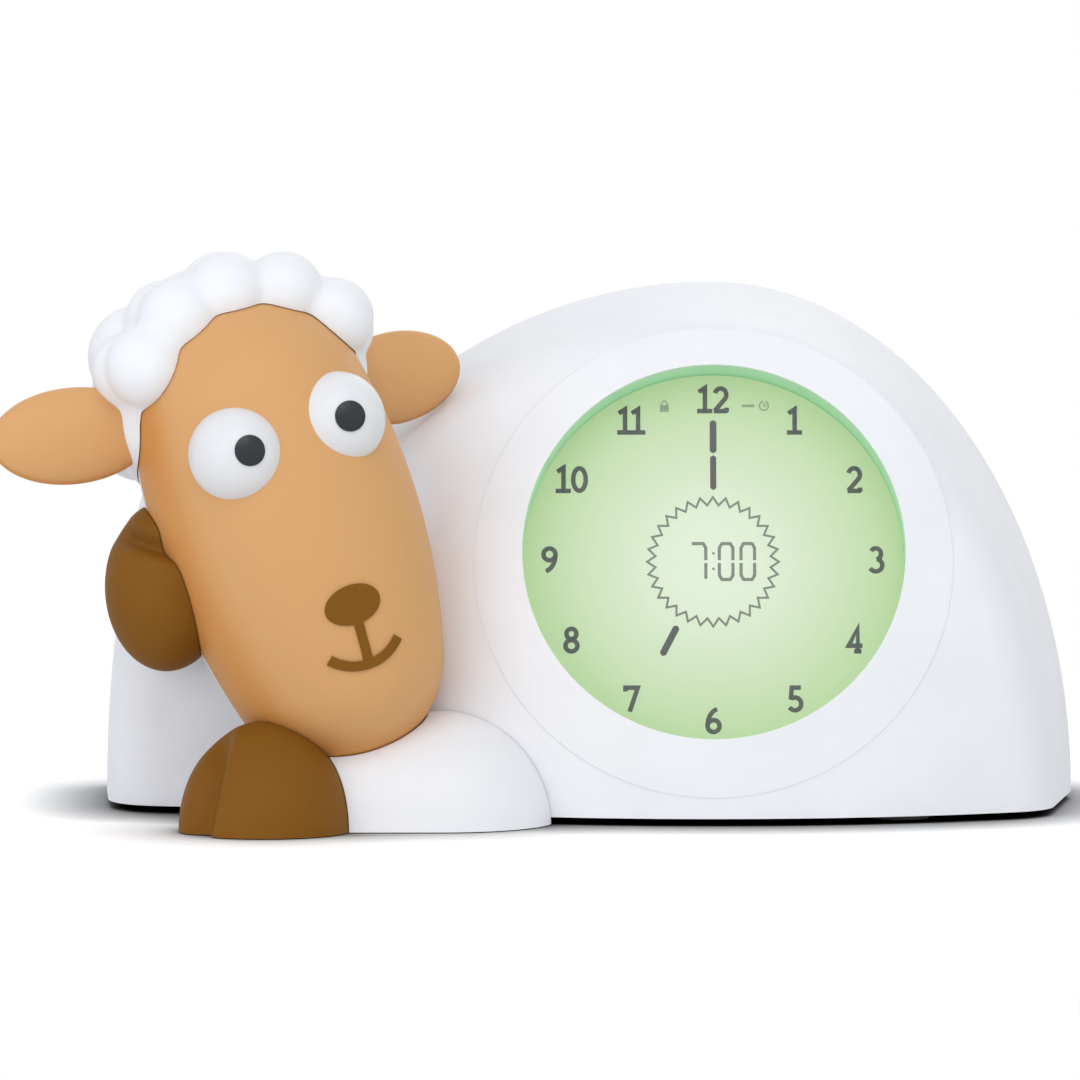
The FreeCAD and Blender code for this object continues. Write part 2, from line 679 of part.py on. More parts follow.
def light_ring():
    rim = "front_radius - sqrt(front_radius^2 - window_radius^2)"
    high = f"-({rim}) - lip - part_gap"
    return keep("light_ring",
                tube("light_ring", "window_radius + light_wall", "window_radius", "-lens_depth", high,
                                   OPEN))


def disc(node, radius, front, thick):
    where = place(z=f"-({front}) - ({thick})", frame=OPEN)
    return keep(node, cylinder(node, radius, thick, where))


def octagon(name, radius, front, thick):
    where = place(z=f"-({front}) - ({thick})", yaw=22.5, frame=OPEN)
    made = solid("Part::Prism", name, where, Circumradius=radius, Height=thick)
    made.Polygon = 8
    return made


GLASS = "lens_depth + lens_thick + fit"
DIFFUSER = f"{GLASS} + glass_thick"
CHAMBER = f"{DIFFUSER} + diffuser_thick"
LAMP_BOARD = f"{CHAMBER} + spacer_height"
CARRIER_END = f"{LAMP_BOARD} + board"


def display_carrier():
    flange = cylinder("carrier_flange_disc", "carrier_flange", "ledge",
                      place(z="-ring_back - 2 * ledge", frame=OPEN))
    drum = cylinder("carrier_drum", "carrier_radius", f"{CARRIER_END} - ring_back - ledge",
                    place(z=f"-({CARRIER_END})", frame=OPEN))
    window = cylinder("carrier_window", "lens_radius + part_gap", f"{CARRIER_END}",
                      place(z=f"-({CARRIER_END})", frame=OPEN))
    chamber = cylinder("carrier_chamber", "glass_radius + part_gap", f"{CARRIER_END} - ({GLASS})",
                       place(z=f"-({CARRIER_END})", frame=OPEN))
    holes = carrier_holes("carrier_hole", "carrier_screw + fit / 2")
    block = common("carrier_fitted", fuse("carrier_block", flange, drum), front_fit)
    return keep("display_carrier", cut("display_carrier", block, window, chamber, *holes))


def lamps():
    chips = []
    for index in range(int(size("lamp_count"))):
        turn = f"{index} * 360 / lamp_count"
        chips.append(box(f"lamp_{index}", 0, 0, 0, "lamp_size", "lamp_size", "lamp_height"))
        corner = place("lamp_ring - lamp_size / 2", "-lamp_size / 2", f"-({LAMP_BOARD})",
                       frame=place(yaw=turn, frame=OPEN))
        chips[-1].setExpression("Placement", bound(corner))
    return keep("lamps", group("lamps", chips))


dial_ring()
light_ring()
disc("dial_window", "lens_radius", "lens_depth", "lens_thick")
keep("display_glass", octagon("display_glass", "glass_radius", GLASS, "glass_thick"))
keep("diffuser", octagon("diffuser", "glass_radius", DIFFUSER, "diffuser_thick"))
keep("light_chamber",
     tube("light_chamber", "glass_radius", "glass_radius - 3", f"-({LAMP_BOARD})", f"-({CHAMBER})", OPEN))
disc("lamp_board", "glass_radius", LAMP_BOARD, "board")
display_carrier()
lamps()


screw_group("carrier_screws", carrier_seats("ring_back + 2 * ledge"), "carrier_screw", "carrier_screw",
            "ledge * 1.6",
            "(carrier_flange - carrier_radius) / 2")


# Main board in its rail, with controller, capacitors and connectors


def on_main(name, x, z, width, height, depth):
    """A box on the back of the main board, centred on x and on a height above the board's foot."""
    foot = f"{PLATE_TOP} + 2 + ({z}) - ({height}) / 2"
    return box(name, f"main_x + {x}", f"main_y + board + ({depth}) / 2", foot, width, depth, height)


def main_board():
    made = box("main_board", "main_x", "main_y + board / 2", f"{PLATE_TOP} + 2", "main_width", "board",
               "main_height")
    keep("main_board", made)
    keep("controller_chip",
         on_main("controller_chip", 0, "main_height * 0.55", "chip_size", "chip_size", "chip_height"))
    cans = []
    for index in (0, 1):
        where = place(f"main_x + main_width / 2 - {2 + 3 * index} * can_radius", "main_y + board",
                      f"{PLATE_TOP} + 2 + main_height * 0.8", roll=-90)
        cans.append(cylinder(f"can_{index}", "can_radius", "can_height", where))
    keep("capacitors", group("capacitors", cans))
    plugs = [on_main(f"plug_{index}", f"{index - 1} * main_width * 0.3", "main_height * 0.22", "plug_width",
                     "plug_height", "plug_depth")
             for index in range(3)]
    keep("board_connectors", group("board_connectors", plugs))


main_board()


# Rear controls: boards, push switches, buttons, slide switch and power inlet


def control_board(node, key):
    x, y, width, height, gap, sides, levels = BOARDS[key]
    return keep(node, box(node, x, y, f"-{gap} - board", width, height, "board", REAR))


def push_button(node, x, y, radius):
    """A cap through the rear wall, a flange behind it and a stem towards its push switch."""
    flange_top = "-wall - fit"
    cap = cylinder(f"{node}_cap", radius, "key_out + wall + fit + flange",
                   place(x, y, f"{flange_top} - flange", frame=REAR))
    crown = doc.addObject("Part::Fillet", f"{node}_crown")
    crown.Base = cap
    doc.recompute()
    top = [index for index, edge in enumerate(cap.Shape.Edges, start=1) if is_top_rim(edge, cap)]
    crown.Edges = [(index, size("key_out") * 0.5, size("key_out") * 0.5) for index in top]
    flange = cylinder(f"{node}_flange", f"{radius} + flange", "flange",
                      place(x, y, f"{flange_top} - flange", frame=REAR))
    low = "-keyboard_gap + switch_height + key_travel + fit"
    post = cylinder(f"{node}_stem", "stem_radius", f"{flange_top} - flange - ({low})",
                    place(x, y, low, frame=REAR))
    return keep(node, fuse(node, crown, flange, post))


def is_top_rim(edge, cap):
    """The rim of a cap's outer end."""
    if edge.Closed is False or not isinstance(edge.Curve, Part.Circle):
        return False
    outward = cap.Placement.Rotation.multVec(FreeCAD.Vector(0, 0, 1))
    return (edge.CenterOfMass - cap.Placement.Base).dot(outward) > cap.Height.Value / 2


def push_switches():
    switches = [box(f"switch_{index}", x, y, "-keyboard_gap", "switch_side", "switch_side", "switch_height",
                    REAR)
                for index, (x, y) in enumerate(KEYS + [LAMP_KEY])]
    return keep("push_switches", group("push_switches", switches))


def slide_switch():
    body = box("slide_body", f"{BESIDE} + slide_x", "jack_y", "-power_gap", "slide_length",
               "slide_knob + 2",
               "slide_height", REAR)
    keep("slide_body", body)
    knob = box("knob_stem", f"{BESIDE} + slide_x - slide_travel / 2", "jack_y",
               "-power_gap + slide_height + part_gap",
               "slide_knob",
               "slide_knob", "power_gap - slide_height - part_gap + key_out", REAR)
    skirt = box("knob_skirt", f"{BESIDE} + slide_x - slide_travel / 2", "jack_y", "-wall - fit - flange",
                "slide_knob + 2 * slide_travel", "slide_knob + 4 * flange", "flange", REAR)
    keep("slide_knob", fuse("slide_knob", knob, skirt))


def power_inlet():
    depth = "power_gap - wall - fit"
    body = box("jack_body", f"{BESIDE} + jack_x", "jack_y", "-power_gap", "jack_side", "jack_side", depth,
               REAR)
    nose = cylinder("jack_nose", "jack_radius", "power_gap",
                    place(f"{BESIDE} + jack_x", "jack_y", "-power_gap", frame=REAR))
    bore = cylinder("jack_bore", "jack_bore", "jack_depth + 1",
                    place(f"{BESIDE} + jack_x", "jack_y", "-jack_depth", frame=REAR))
    pin = cylinder("jack_pin", "jack_pin", "jack_depth - 1",
                   place(f"{BESIDE} + jack_x", "jack_y", "-jack_depth", frame=REAR))
    return keep("power_inlet",
                fuse("power_inlet", cut("jack_hollow", fuse("jack_block", body, nose), bore), pin))


control_board("control_board", "control")
control_board("light_board", "lamp")
control_board("power_board", "power")
for node, (x, y) in zip(KEY_NAMES, KEYS):
    push_button(node, x, y, "key_radius")
push_button("light_button", *LAMP_KEY, "lamp_key_radius")
push_switches()
slide_switch()
power_inlet()


# Speaker behind its grille


def cone(name, x, y, low, low_radius, high_radius, height):
    """A cone on the rear wall's axis, its lower end at a depth."""
    return solid("Part::Cone", name, place(x, y, low, frame=REAR), Radius1=low_radius, Radius2=high_radius,
                 Height=height)


def speaker():
    x, y = "speaker_x", "speaker_y"
    back = "-wall - speaker_depth"
    rim = "-wall - fit"
    low = f"{rim} - speaker_rim"
    top = f"({back} + magnet_height)"
    ring = cylinder("frame_ring", "speaker_radius", "speaker_rim", place(x, y, low, frame=REAR))
    basket = cone("frame_basket", x, y, top, "speaker_radius * 0.62", "speaker_radius * 0.95",
                  f"{low} - {top}")
    inner = cone("frame_inner", x, y, top, "speaker_radius * 0.42", "speaker_radius * 0.86",
                 f"{rim} - {top}")
    through = cylinder("frame_through", "speaker_radius * 0.42", "speaker_depth",
                       place(x, y, back, frame=REAR))
    keep("speaker_frame", cut("speaker_frame", fuse("frame_block", ring, basket), inner, through))
    where = place(x, y, back, frame=REAR)
    keep("speaker_magnet", cylinder("speaker_magnet", "speaker_radius * 0.6", "magnet_height", where))
    foot = f"{top} + part_gap"
    face = cone("cone_face", x, y, foot, "speaker_radius * 0.38", "speaker_radius * 0.8",
                f"{rim} - ({foot}) - cone_wall")
    dish = cone("cone_dish", x, y, f"{foot} + cone_wall", "speaker_radius * 0.34", "speaker_radius * 0.79",
                f"{rim} - ({foot}) - cone_wall")
    keep("speaker_cone", cut("speaker_cone", face, dish))


speaker()


# Battery bay: box, contacts, cells, door and its screw

BAY_Y = "door_y - bay_low"
BAY_FLOOR = "wall + 2 * fit + 2 * cell_radius"
HINGE_Y = "door_y - door_height / 2 + fit + door_lid / 2"
SCREW_Y = "door_y + door_height / 2 - door_screw_down"


def battery_box():
    outer = box("bay_outer", "door_x", "door_y", f"-({BAY_FLOOR}) - bay_wall", "door_width + 2 * bay_rim",
                "door_height + 2 * bay_rim", f"{BAY_FLOOR} + bay_wall - wall", REAR)
    pocket = box("bay_pocket", "door_x", BAY_Y, f"-({BAY_FLOOR})", "bay_length", "bay_height", BAY_FLOOR,
                 REAR)
    where = place("door_x", SCREW_Y, "-wall - screw_length * 0.5", frame=REAR)
    bore = cylinder("bay_bore", "shank_radius + fit + part_gap", "screw_length", where)
    return keep("battery_box", cut("battery_box", outer, pocket, bore))


def cell_places():
    return [f"{BAY_Y} + {row} * cell_pitch" for row in (-1, 0, 1)]


def battery_cells():
    cells = []
    for index, y in enumerate(cell_places()):
        flip = -1 if index == 1 else 1
        depth = "-wall - fit - cell_radius"
        start = place(f"door_x - {flip} * cell_length / 2", y, depth, pitch=90 * flip, frame=REAR)
        body = cylinder(f"cell_body_{index}", "cell_radius", "cell_length", start)
        nub = cylinder(f"cell_nub_{index}", "nub_radius", "cell_length + nub_height", start)
        cells.append(fuse(f"cell_{index}", body, nub))
    return keep("battery_cells", group("battery_cells", cells))


def battery_contacts():
    """A plate at each end of each cell: a cone of spring wire at the flat end, a stop at the nub."""
    plates = []
    bay_end = "bay_length / 2"
    cell_end = "cell_length / 2"
    for index, y in enumerate(cell_places()):
        flip = -1 if index == 1 else 1
        depth = "-wall - fit - cell_radius"
        low = f"{depth} - cell_radius * 0.8"
        reach = f"({bay_end} - contact)"
        plate = box(f"spring_plate_{index}", f"door_x - {flip} * ({reach} + contact / 2)", y, low,
                    "contact",
                    "cell_radius * 1.5", "cell_radius * 1.6", REAR)
        where = place(f"door_x - {flip} * {reach}", y, depth, pitch=90 * flip, frame=REAR)
        spring = solid("Part::Cone", f"spring_{index}", where, Radius1="cell_radius * 0.6",
                       Radius2="cell_radius * 0.3", Height=f"{reach} - {cell_end} - part_gap")
        plates.append(fuse(f"contact_spring_{index}", plate, spring))
        reach = f"({cell_end} + nub_height + part_gap)"
        plate = box(f"nub_plate_{index}", f"door_x + {flip} * ({reach} + contact / 2)", y, low, "contact",
                    "cell_radius * 1.5", "cell_radius * 1.6", REAR)
        stop = f"({bay_end} - {reach} - contact)"
        block = box(f"contact_block_{index}", f"door_x + {flip} * ({bay_end} - {stop} / 2)", y, low, stop,
                    "cell_radius", "cell_radius", REAR)
        plates.append(fuse(f"contact_stop_{index}", plate, block))
    return keep("battery_contacts", group("battery_contacts", plates))


def battery_door():
    """A lid that turns on pins in its lower bead."""
    low = "-wall / 2 - door_lid / 2"
    height = f"door_y + door_height / 2 - fit - ({HINGE_Y})"
    lid = box("door_panel", "door_x", f"{HINGE_Y} + ({height}) / 2", low, "door_width - 2 * fit", height,
              "door_lid",
              REAR)
    start = place("door_x - door_width / 2 + fit", HINGE_Y, "-wall / 2", pitch=90, frame=REAR)
    bead = cylinder("door_bead", "door_lid / 2", "door_width - 2 * fit", start)
    start = place("door_x - door_width / 2 - pin_length", HINGE_Y, "-wall / 2", pitch=90, frame=REAR)
    pins = cylinder("door_pins", "pin_radius", "door_width + 2 * pin_length", start)
    hole = cylinder("door_screw_hole", "shank_radius + part_gap", "wall + 2",
                    place("door_x", SCREW_Y, "-wall - 1", frame=REAR))
    grip = box("door_grip", "door_x", f"{SCREW_Y} - head_radius - grip_height",
               "-wall / 2 + door_lid / 2 - grip_depth",
               "grip_length", "grip_height", "2 * grip_depth", REAR)
    return keep("battery_door", cut("battery_door", fuse("door_block", lid, bead, pins), hole, grip))


battery_box()
battery_cells()
battery_contacts()
battery_door()
seats = [place("door_x", SCREW_Y, "-wall / 2 + door_lid / 2", frame=REAR)]
screw_group("door_screw", seats, "shank_radius", "screw_head * 0.8", "screw_length * 0.4")


# Head: an egg of revolution, its halves, eyes, nose and mouth, ears and wool


def egg(name, inset):
    """A body of revolution along the head's axis: crown, long side and chin in three tangent arcs."""
    crown = size("crown_radius") - inset
    chin = size("chin_radius") - inset
    side = size("head_side") - inset
    middle = size("head_half") - size("head_side")
    top = math.sqrt((side - crown) ** 2 - middle ** 2)
    bottom = -math.sqrt((side - chin) ** 2 - middle ** 2)
    upper = math.atan2(top, -middle)
    lower = math.atan2(bottom, -middle)
    body = doc.addObject("PartDesign::Body", name)
    sketch = body.newObject("Sketcher::SketchObject", f"{name}_profile")
    plane = [item for item in body.Origin.OriginFeatures if item.Role == "XZ_Plane"][0]
    sketch.AttachmentSupport = (plane, [""])
    sketch.MapMode = "FlatFace"
    arcs = [((0, top), crown, upper, math.pi / 2), ((middle, 0), side, lower, upper),
            ((0, bottom), chin, -math.pi / 2, lower)]
    for (x, y), radius, start, end in arcs:
        circle = Part.Circle(FreeCAD.Vector(x, y, 0), FreeCAD.Vector(0, 0, 1), radius)
        sketch.addGeometry(Part.ArcOfCircle(circle, start, end), False)
    high = FreeCAD.Vector(0, top + crown, 0)
    low = FreeCAD.Vector(0, bottom - chin, 0)
    sketch.addGeometry(Part.LineSegment(high, low), False)
    rule = Sketcher.Constraint
    joints = [("Tangent", 0, 1, 1, 2), ("Tangent", 1, 1, 2, 2), ("Coincident", 3, 1, 0, 2),
              ("Coincident", 3, 2, 2, 1),
              ("PointOnObject", 3, 1, -2), ("PointOnObject", 3, 2, -2), ("PointOnObject", 0, 3, -2),
              ("PointOnObject", 2, 3, -2), ("PointOnObject", 1, 3, -1)]
    for joint in joints:
        sketch.addConstraint(rule(*joint))
    sizes = [(rule("Radius", 0, crown), f"crown_radius - ({inset})"),
             (rule("Radius", 1, side), f"head_side - ({inset})"),
             (rule("Radius", 2, chin), f"chin_radius - ({inset})"),
             (rule("DistanceX", -1, 1, 1, 3, middle), "head_half - head_side")]
    for constraint, text in sizes:
        index = sketch.addConstraint(constraint)
        sketch.setExpression(f"Constraints[{index}]", bound(text))
    turned = body.newObject("PartDesign::Revolution", f"{name}_turned")
    turned.Profile = sketch
    turned.ReferenceAxis = (sketch, ["V_Axis"])
    turned.Angle = 360
    body.setExpression("Placement", bound(HEAD))
    return body


def half_space(name, low, high):
    """A block across the head between two depths along its own Y."""
    return solid("Part::Box", name, place("-head_side", low, "-head_side", frame=HEAD),
                 Length="2 * head_side",
                 Width=f"{high} - ({low})", Height="2 * head_side")


egg_skin = egg("egg_skin", 0)
egg_inside = egg("egg_inside", WALL)
egg_clear = egg("egg_clear", -FIT)
egg_inlay = egg("egg_inlay", -size("inlay"))


def head_halves():
    hollow = cut("head_hollow", egg_skin, egg_inside)
    face = common("face_half", hollow, half_space("face_space", "-head_side", "head_split"))
    keep("face_shell", cut("face_shell", face, front_clear))
    back = common("back_half", hollow, half_space("back_space", "head_split + part_gap", "head_side"))
    keep("head_back", cut("head_back", back, front_clear))


def eyes():
    for node, side in (("left", -1), ("right", 1)):
        centre = place(f"{side} * eye_side", "-eye_in", "eye_up", frame=HEAD)
        eye = ball(f"{node}_eye_ball", "eye_radius", centre)
        keep(f"{node}_eye", cut(f"{node}_eye", eye, egg_skin))
        ahead = place(f"{side} * eye_side", "-eye_in", "eye_up", roll=90, frame=HEAD)
        column = cylinder(f"{node}_pupil_column", "pupil_radius", "2 * eye_radius", ahead)
        film = ball(f"{node}_pupil_ball", "eye_radius + pupil_rise", centre)
        keep(f"{node}_pupil", cut(f"{node}_pupil", common(f"{node}_pupil_cap", column, film), eye))


def nose_and_mouth():
    """A raised drawing on the face: an oval nose, a short stem and a small smile."""
    ahead = place("0", "0", "smile_up", roll=90, frame=HEAD)
    start = place(yaw="-90 - smile_angle / 2", frame=ahead)
    sector = cylinder("smile_sector", "smile_radius", "head_side", start)
    sector.setExpression("Angle", bound("smile_angle"))
    hollow = cylinder("smile_hollow", "smile_radius - inlay_width", "head_side", ahead)
    smile = cut("smile", sector, hollow)
    foot = "smile_up - smile_radius + inlay_width / 2"
    stem = solid("Part::Box", "nose_stem", place("-inlay_width / 2", "-head_side", foot, frame=HEAD),
                 Length="inlay_width", Width="head_side", Height=f"nose_up - ({foot})")
    nose = ellipsoid("nose_oval", "nose_half", "head_side", "nose_height", place(z="nose_up", frame=HEAD))
    space = half_space("nose_space", "-head_side", 0)
    drawn = common("nose_drawn", fuse("nose_lines", nose, stem, smile), egg_inlay, space)
    keep("nose_and_mouth", cut("nose_and_mouth", drawn, egg_skin))


EAR_PLACES = {
    "left_ear": place("-ear_side", "ear_back", "ear_up", yaw=180, pitch="-ear_lift_left", frame=HEAD),
    "right_ear": place("far_ear_side", "far_ear_back", "far_ear_up", pitch="-ear_lift_right", frame=HEAD),
}


def ear_blank(tag, where, grow):
    return ellipsoid(tag, f"ear_half + {grow}", f"ear_thick + {grow}", f"ear_width + {grow}", where)


def ears():
    for node, where in EAR_PLACES.items():
        keep(node, cut(node, ear_blank(f"{node}_blank", where, 0), egg_clear, front_clear))


def paw_blank(name, grow):
    where = place("paw_x", "paw_y", "paw_z")
    return ellipsoid(name, f"paw_half + {grow}", f"paw_depth + {grow}", f"paw_height + {grow}", where)


WOOL_RINGS = [(0, 1, 0), (52, 6, 300), (98, 6, 220), (138, 2, 60)]
FRINGE = (4, 132)


def wool_cap():
    """Lumps in rings around a ball on the crown, and a fringe of lumps over the forehead."""
    middle = place(0, "wool_back", "wool_up", frame=HEAD)
    lumps = [ball("wool_core", "wool_core", middle)]
    for lean, count, spread in WOOL_RINGS:
        for index in range(count):
            step = spread / (count - 1) if count > 1 else 0
            turn = 90 - spread / 2 + index * step
            where = place(f"lump_out * sin({lean}) * cos({turn})", f"lump_out * sin({lean}) * sin({turn})",
                          f"lump_out * cos({lean})", frame=middle)
            lumps.append(ball(f"wool_{lean}_{index}", "lump_radius", where))
    count, spread = FRINGE
    crown = place(z="sqrt((head_side - crown_radius)^2 - (head_side - head_half)^2)", frame=HEAD)
    for index in range(count):
        turn = -90 - spread / 2 + index * spread / (count - 1)
        reach = "fringe_out * cos(fringe_rise)"
        where = place(f"{reach} * cos({turn})", f"{reach} * sin({turn})", "fringe_out * sin(fringe_rise)",
                      frame=crown)
        lumps.append(ball(f"fringe_{index}", "fringe_radius", where))
    space = [ear_blank(f"{node}_space", where, "fit") for node, where in EAR_PLACES.items()]
    space.append(paw_blank("paw_space", "fit"))
    keep("wool_cap", cut("wool_cap", fuse("wool_lumps", *lumps), egg_clear, front_clear, *space))


head_halves()
eyes()
nose_and_mouth()
ears()
wool_cap()


# Legs: lying foreleg, front hoof, hoof at the cheek


def upper_half(name):
    """A block above the underside of the legs."""
    return solid("Part::Box", name, place("-2 * loft_reach", "-2 * loft_reach", "leg_z"),
                 Length="4 * loft_reach",
                 Width="4 * loft_reach", Height="loft_reach")


def hoof_blank(name, grow):
    where = place("hoof_x", "hoof_y", "leg_z")
    return ellipsoid(name, f"hoof_half + {grow}", f"hoof_depth + {grow}", f"hoof_height + {grow}", where)


def cleft_at(name, x, y, z, depth, height, lean):
    """A soft groove between two toes."""
    return ellipsoid(name, "cleft", depth, height, place(x, y, z, pitch=lean))


def legs():
    where = place("leg_left", "leg_y", "leg_z", pitch=90)
    straight = cylinder("leg_straight", "leg_radius", "leg_end - leg_left", where)
    end = ball("leg_ball", "leg_radius", place("leg_end", "leg_y", "leg_z"))
    leg = common("leg_block", fuse("leg_whole", straight, end), upper_half("leg_space"))
    hoof_space = hoof_blank("hoof_space", "part_gap")
    keep("lying_foreleg", cut("lying_foreleg", leg, egg_clear, front_clear, hoof_space))
    hoof = common("hoof_block", hoof_blank("hoof_blank", 0), upper_half("hoof_upper"))
    notch = cleft_at("hoof_cleft", "hoof_x - hoof_half * 0.5", "hoof_y - hoof_depth", "leg_z",
                     "hoof_depth * 0.4",
                     "hoof_height * 0.7", 0)
    keep("front_hoof", cut("front_hoof", hoof, notch, egg_clear, front_clear))
    paw = paw_blank("paw_blank", 0)
    slit = cleft_at("paw_cleft", "paw_x + paw_half * 0.3", "paw_y - paw_depth", "paw_z + paw_height * 0.8",
                    "paw_depth * 0.7", "paw_height * 0.6", "cleft_lean")
    keep("cheek_hoof", cut("cheek_hoof", paw, slit, egg_clear, front_clear))


legs()


def finish():
    doc.recompute()
    for made in doc.Objects:
        if any(flag in made.State for flag in ("Invalid", "Error")):
            raise SystemExit(f"{made.Name}: {made.State}")
    for node, made in PARTS.items():
        shape = made.Shape
        if shape.isNull() or not shape.isValid():
            raise SystemExit(f"{node}: no valid shape")
    os.makedirs("parts", exist_ok=True)
    for node, made in PARTS.items():
        made.Shape.exportStep(f"parts/{node}.step")
        print(node, len(made.Shape.Solids), round(made.Shape.Volume))


finish()
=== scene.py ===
import json
import math

import bmesh
import bpy
from mathutils import Matrix, Vector

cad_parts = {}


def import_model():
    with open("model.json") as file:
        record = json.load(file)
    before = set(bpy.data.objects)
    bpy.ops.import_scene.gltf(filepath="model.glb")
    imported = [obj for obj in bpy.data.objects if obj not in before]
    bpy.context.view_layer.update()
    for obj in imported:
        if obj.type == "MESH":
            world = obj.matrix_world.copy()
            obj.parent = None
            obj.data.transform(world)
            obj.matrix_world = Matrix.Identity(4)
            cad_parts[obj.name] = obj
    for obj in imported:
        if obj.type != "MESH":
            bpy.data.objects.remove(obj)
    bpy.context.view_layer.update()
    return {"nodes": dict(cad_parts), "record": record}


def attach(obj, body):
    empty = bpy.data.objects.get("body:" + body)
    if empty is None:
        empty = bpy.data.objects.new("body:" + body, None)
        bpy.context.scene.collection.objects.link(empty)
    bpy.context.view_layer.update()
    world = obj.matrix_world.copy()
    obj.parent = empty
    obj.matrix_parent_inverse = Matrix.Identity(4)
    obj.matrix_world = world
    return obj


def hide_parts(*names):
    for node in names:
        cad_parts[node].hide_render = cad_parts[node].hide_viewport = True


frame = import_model()
NODES = frame["nodes"]
MM = 0.001
BODY = "clock"

# Frames of the part, repeated from its source, in millimetres and degrees

FACE_LEAN = 15.5
REAR_LEAN = 8
CLOCK_MIDDLE = 38.3
DIAL_PLACE = (CLOCK_MIDDLE, -33, 59.6)
REAR_PLACE = (CLOCK_MIDDLE, 65, 1.5)
HEAD_PLACE = (-55.8, -33, 67.6)
OPENING_UP = 1.8
GLASS_FRONT = -19.5


def turned(x, y, z, yaw=0, pitch=0, roll=0):
    """A placement with the same order of turns as the part's source."""
    turn = (Matrix.Rotation(math.radians(yaw), 4, "Z") @ Matrix.Rotation(math.radians(pitch), 4, "Y")
            @ Matrix.Rotation(math.radians(roll), 4, "X"))
    return Matrix.Translation((x, y, z)) @ turn


DIAL = turned(*DIAL_PLACE, roll=90 - FACE_LEAN)
OPEN = DIAL @ turned(0, OPENING_UP, 0)
REAR = turned(*REAR_PLACE, yaw=180, roll=90 - REAR_LEAN)
HEAD = turned(*HEAD_PLACE, yaw=20, pitch=-17, roll=-8)


def to_metres(matrix, point):
    return matrix @ Vector(point) * MM


# Camera at the photograph's viewing angle

CAMERA_LIFT = math.radians(4)
CAMERA_AWAY = 2.4
FRAME_WIDTH = 0.2404
SENSOR = 36
AIM = Vector((0, 0, 0.0603))


def add_camera():
    data = bpy.data.cameras.new("camera")
    data.sensor_width = SENSOR
    data.sensor_fit = "HORIZONTAL"
    data.lens = SENSOR * CAMERA_AWAY / FRAME_WIDTH
    data.clip_end = 20
    camera = bpy.data.objects.new("camera", data)
    bpy.context.scene.collection.objects.link(camera)
    back = Vector((0, -math.cos(CAMERA_LIFT), math.sin(CAMERA_LIFT)))
    camera.location = AIM + back * CAMERA_AWAY
    camera.rotation_euler = (-back).to_track_quat("-Z", "Y").to_euler()
    bpy.context.scene.camera = camera


add_camera()


# Materials


class Nodes:
    """Short names for building one material's node tree."""

    def __init__(self, name):
        self.material = bpy.data.materials.new(name)
        self.material.use_nodes = True
        self.tree = self.material.node_tree
        self.shader = self.tree.nodes["Principled BSDF"]

    def add(self, kind, **values):
        node = self.tree.nodes.new(kind)
        for key, value in values.items():
            if key in node.inputs:
                node.inputs[key].default_value = value
            else:
                setattr(node, key, value)
        return node

    def link(self, start, end):
        self.tree.links.new(start, end)

    def set(self, **values):
        for key, value in values.items():
            self.shader.inputs[key.replace("_", " ")].default_value = value

    def position(self):
        return self.add("ShaderNodeTexCoord").outputs["Object"]

    def noise(self, scale, detail=3.0, rough=0.55):
        node = self.add("ShaderNodeTexNoise", Scale=scale, Detail=detail, Roughness=rough)
        self.link(self.position(), node.inputs["Vector"])
        return node.outputs["Fac"]

    def ramp(self, source, stops, smooth=True):
        node = self.add("ShaderNodeValToRGB")
        band = node.color_ramp
        band.interpolation = "EASE" if smooth else "LINEAR"
        while len(band.elements) < len(stops):
            band.elements.new(0.5)
        for element, (at, colour) in zip(band.elements, stops):
            element.position = at
            element.color = colour
        self.link(source, node.inputs["Fac"])
        return node.outputs["Color"]

    def math(self, kind, first, second=None):
        node = self.add("ShaderNodeMath", operation=kind)
        for index, value in enumerate((first, second)):
            if value is None:
                continue
            if isinstance(value, (int, float)):
                node.inputs[index].default_value = value
            else:
                self.link(value, node.inputs[index])
        return node.outputs[0]

    def bump(self, source, strength, distance):
        node = self.add("ShaderNodeBump", Strength=strength, Distance=distance)
        self.link(source, node.inputs["Height"])
        self.link(node.outputs["Normal"], self.shader.inputs["Normal"])

    def roughness(self, source, low, high):
        node = self.add("ShaderNodeMapRange")
        node.inputs["To Min"].default_value = low
        node.inputs["To Max"].default_value = high
        self.link(source, node.inputs["Value"])
        self.link(node.outputs["Result"], self.shader.inputs["Roughness"])

    def colour(self, source, stops, smooth=True):
        self.link(self.ramp(source, stops, smooth), self.shader.inputs["Base Color"])

    def vector(self, operation, first, second=None, result="Value"):
        """Vector maths on a socket, where needed with a fixed second vector."""
        node = self.add("ShaderNodeVectorMath", operation=operation)
        self.link(first, node.inputs[0])
        if second is not None:
            node.inputs[1].default_value = second
        return node.outputs[result]


def srgb(*levels):
    """Display levels from 0 to 255 as linear values."""
    out = []
    for level in levels:
        part = level / 255
        out.append(part / 12.92 if part <= 0.04045 else ((part + 0.055) / 1.055) ** 2.4)
    return (*out, 1.0)


def shade(colour, factor):
    return tuple(min(1.0, part * factor) for part in colour[:3]) + (1.0,)


# Depth of the moulded grain in metres, and the scales of clouding and uneven gloss
GRAIN_DEPTH = 0.00002
FINE_GRAIN = 0.00001
INK_GRAIN = 0.000005
CLOUD_SCALE = 38
GLOSS_SCALE = 160
GLOSS_SPREAD = 0.06


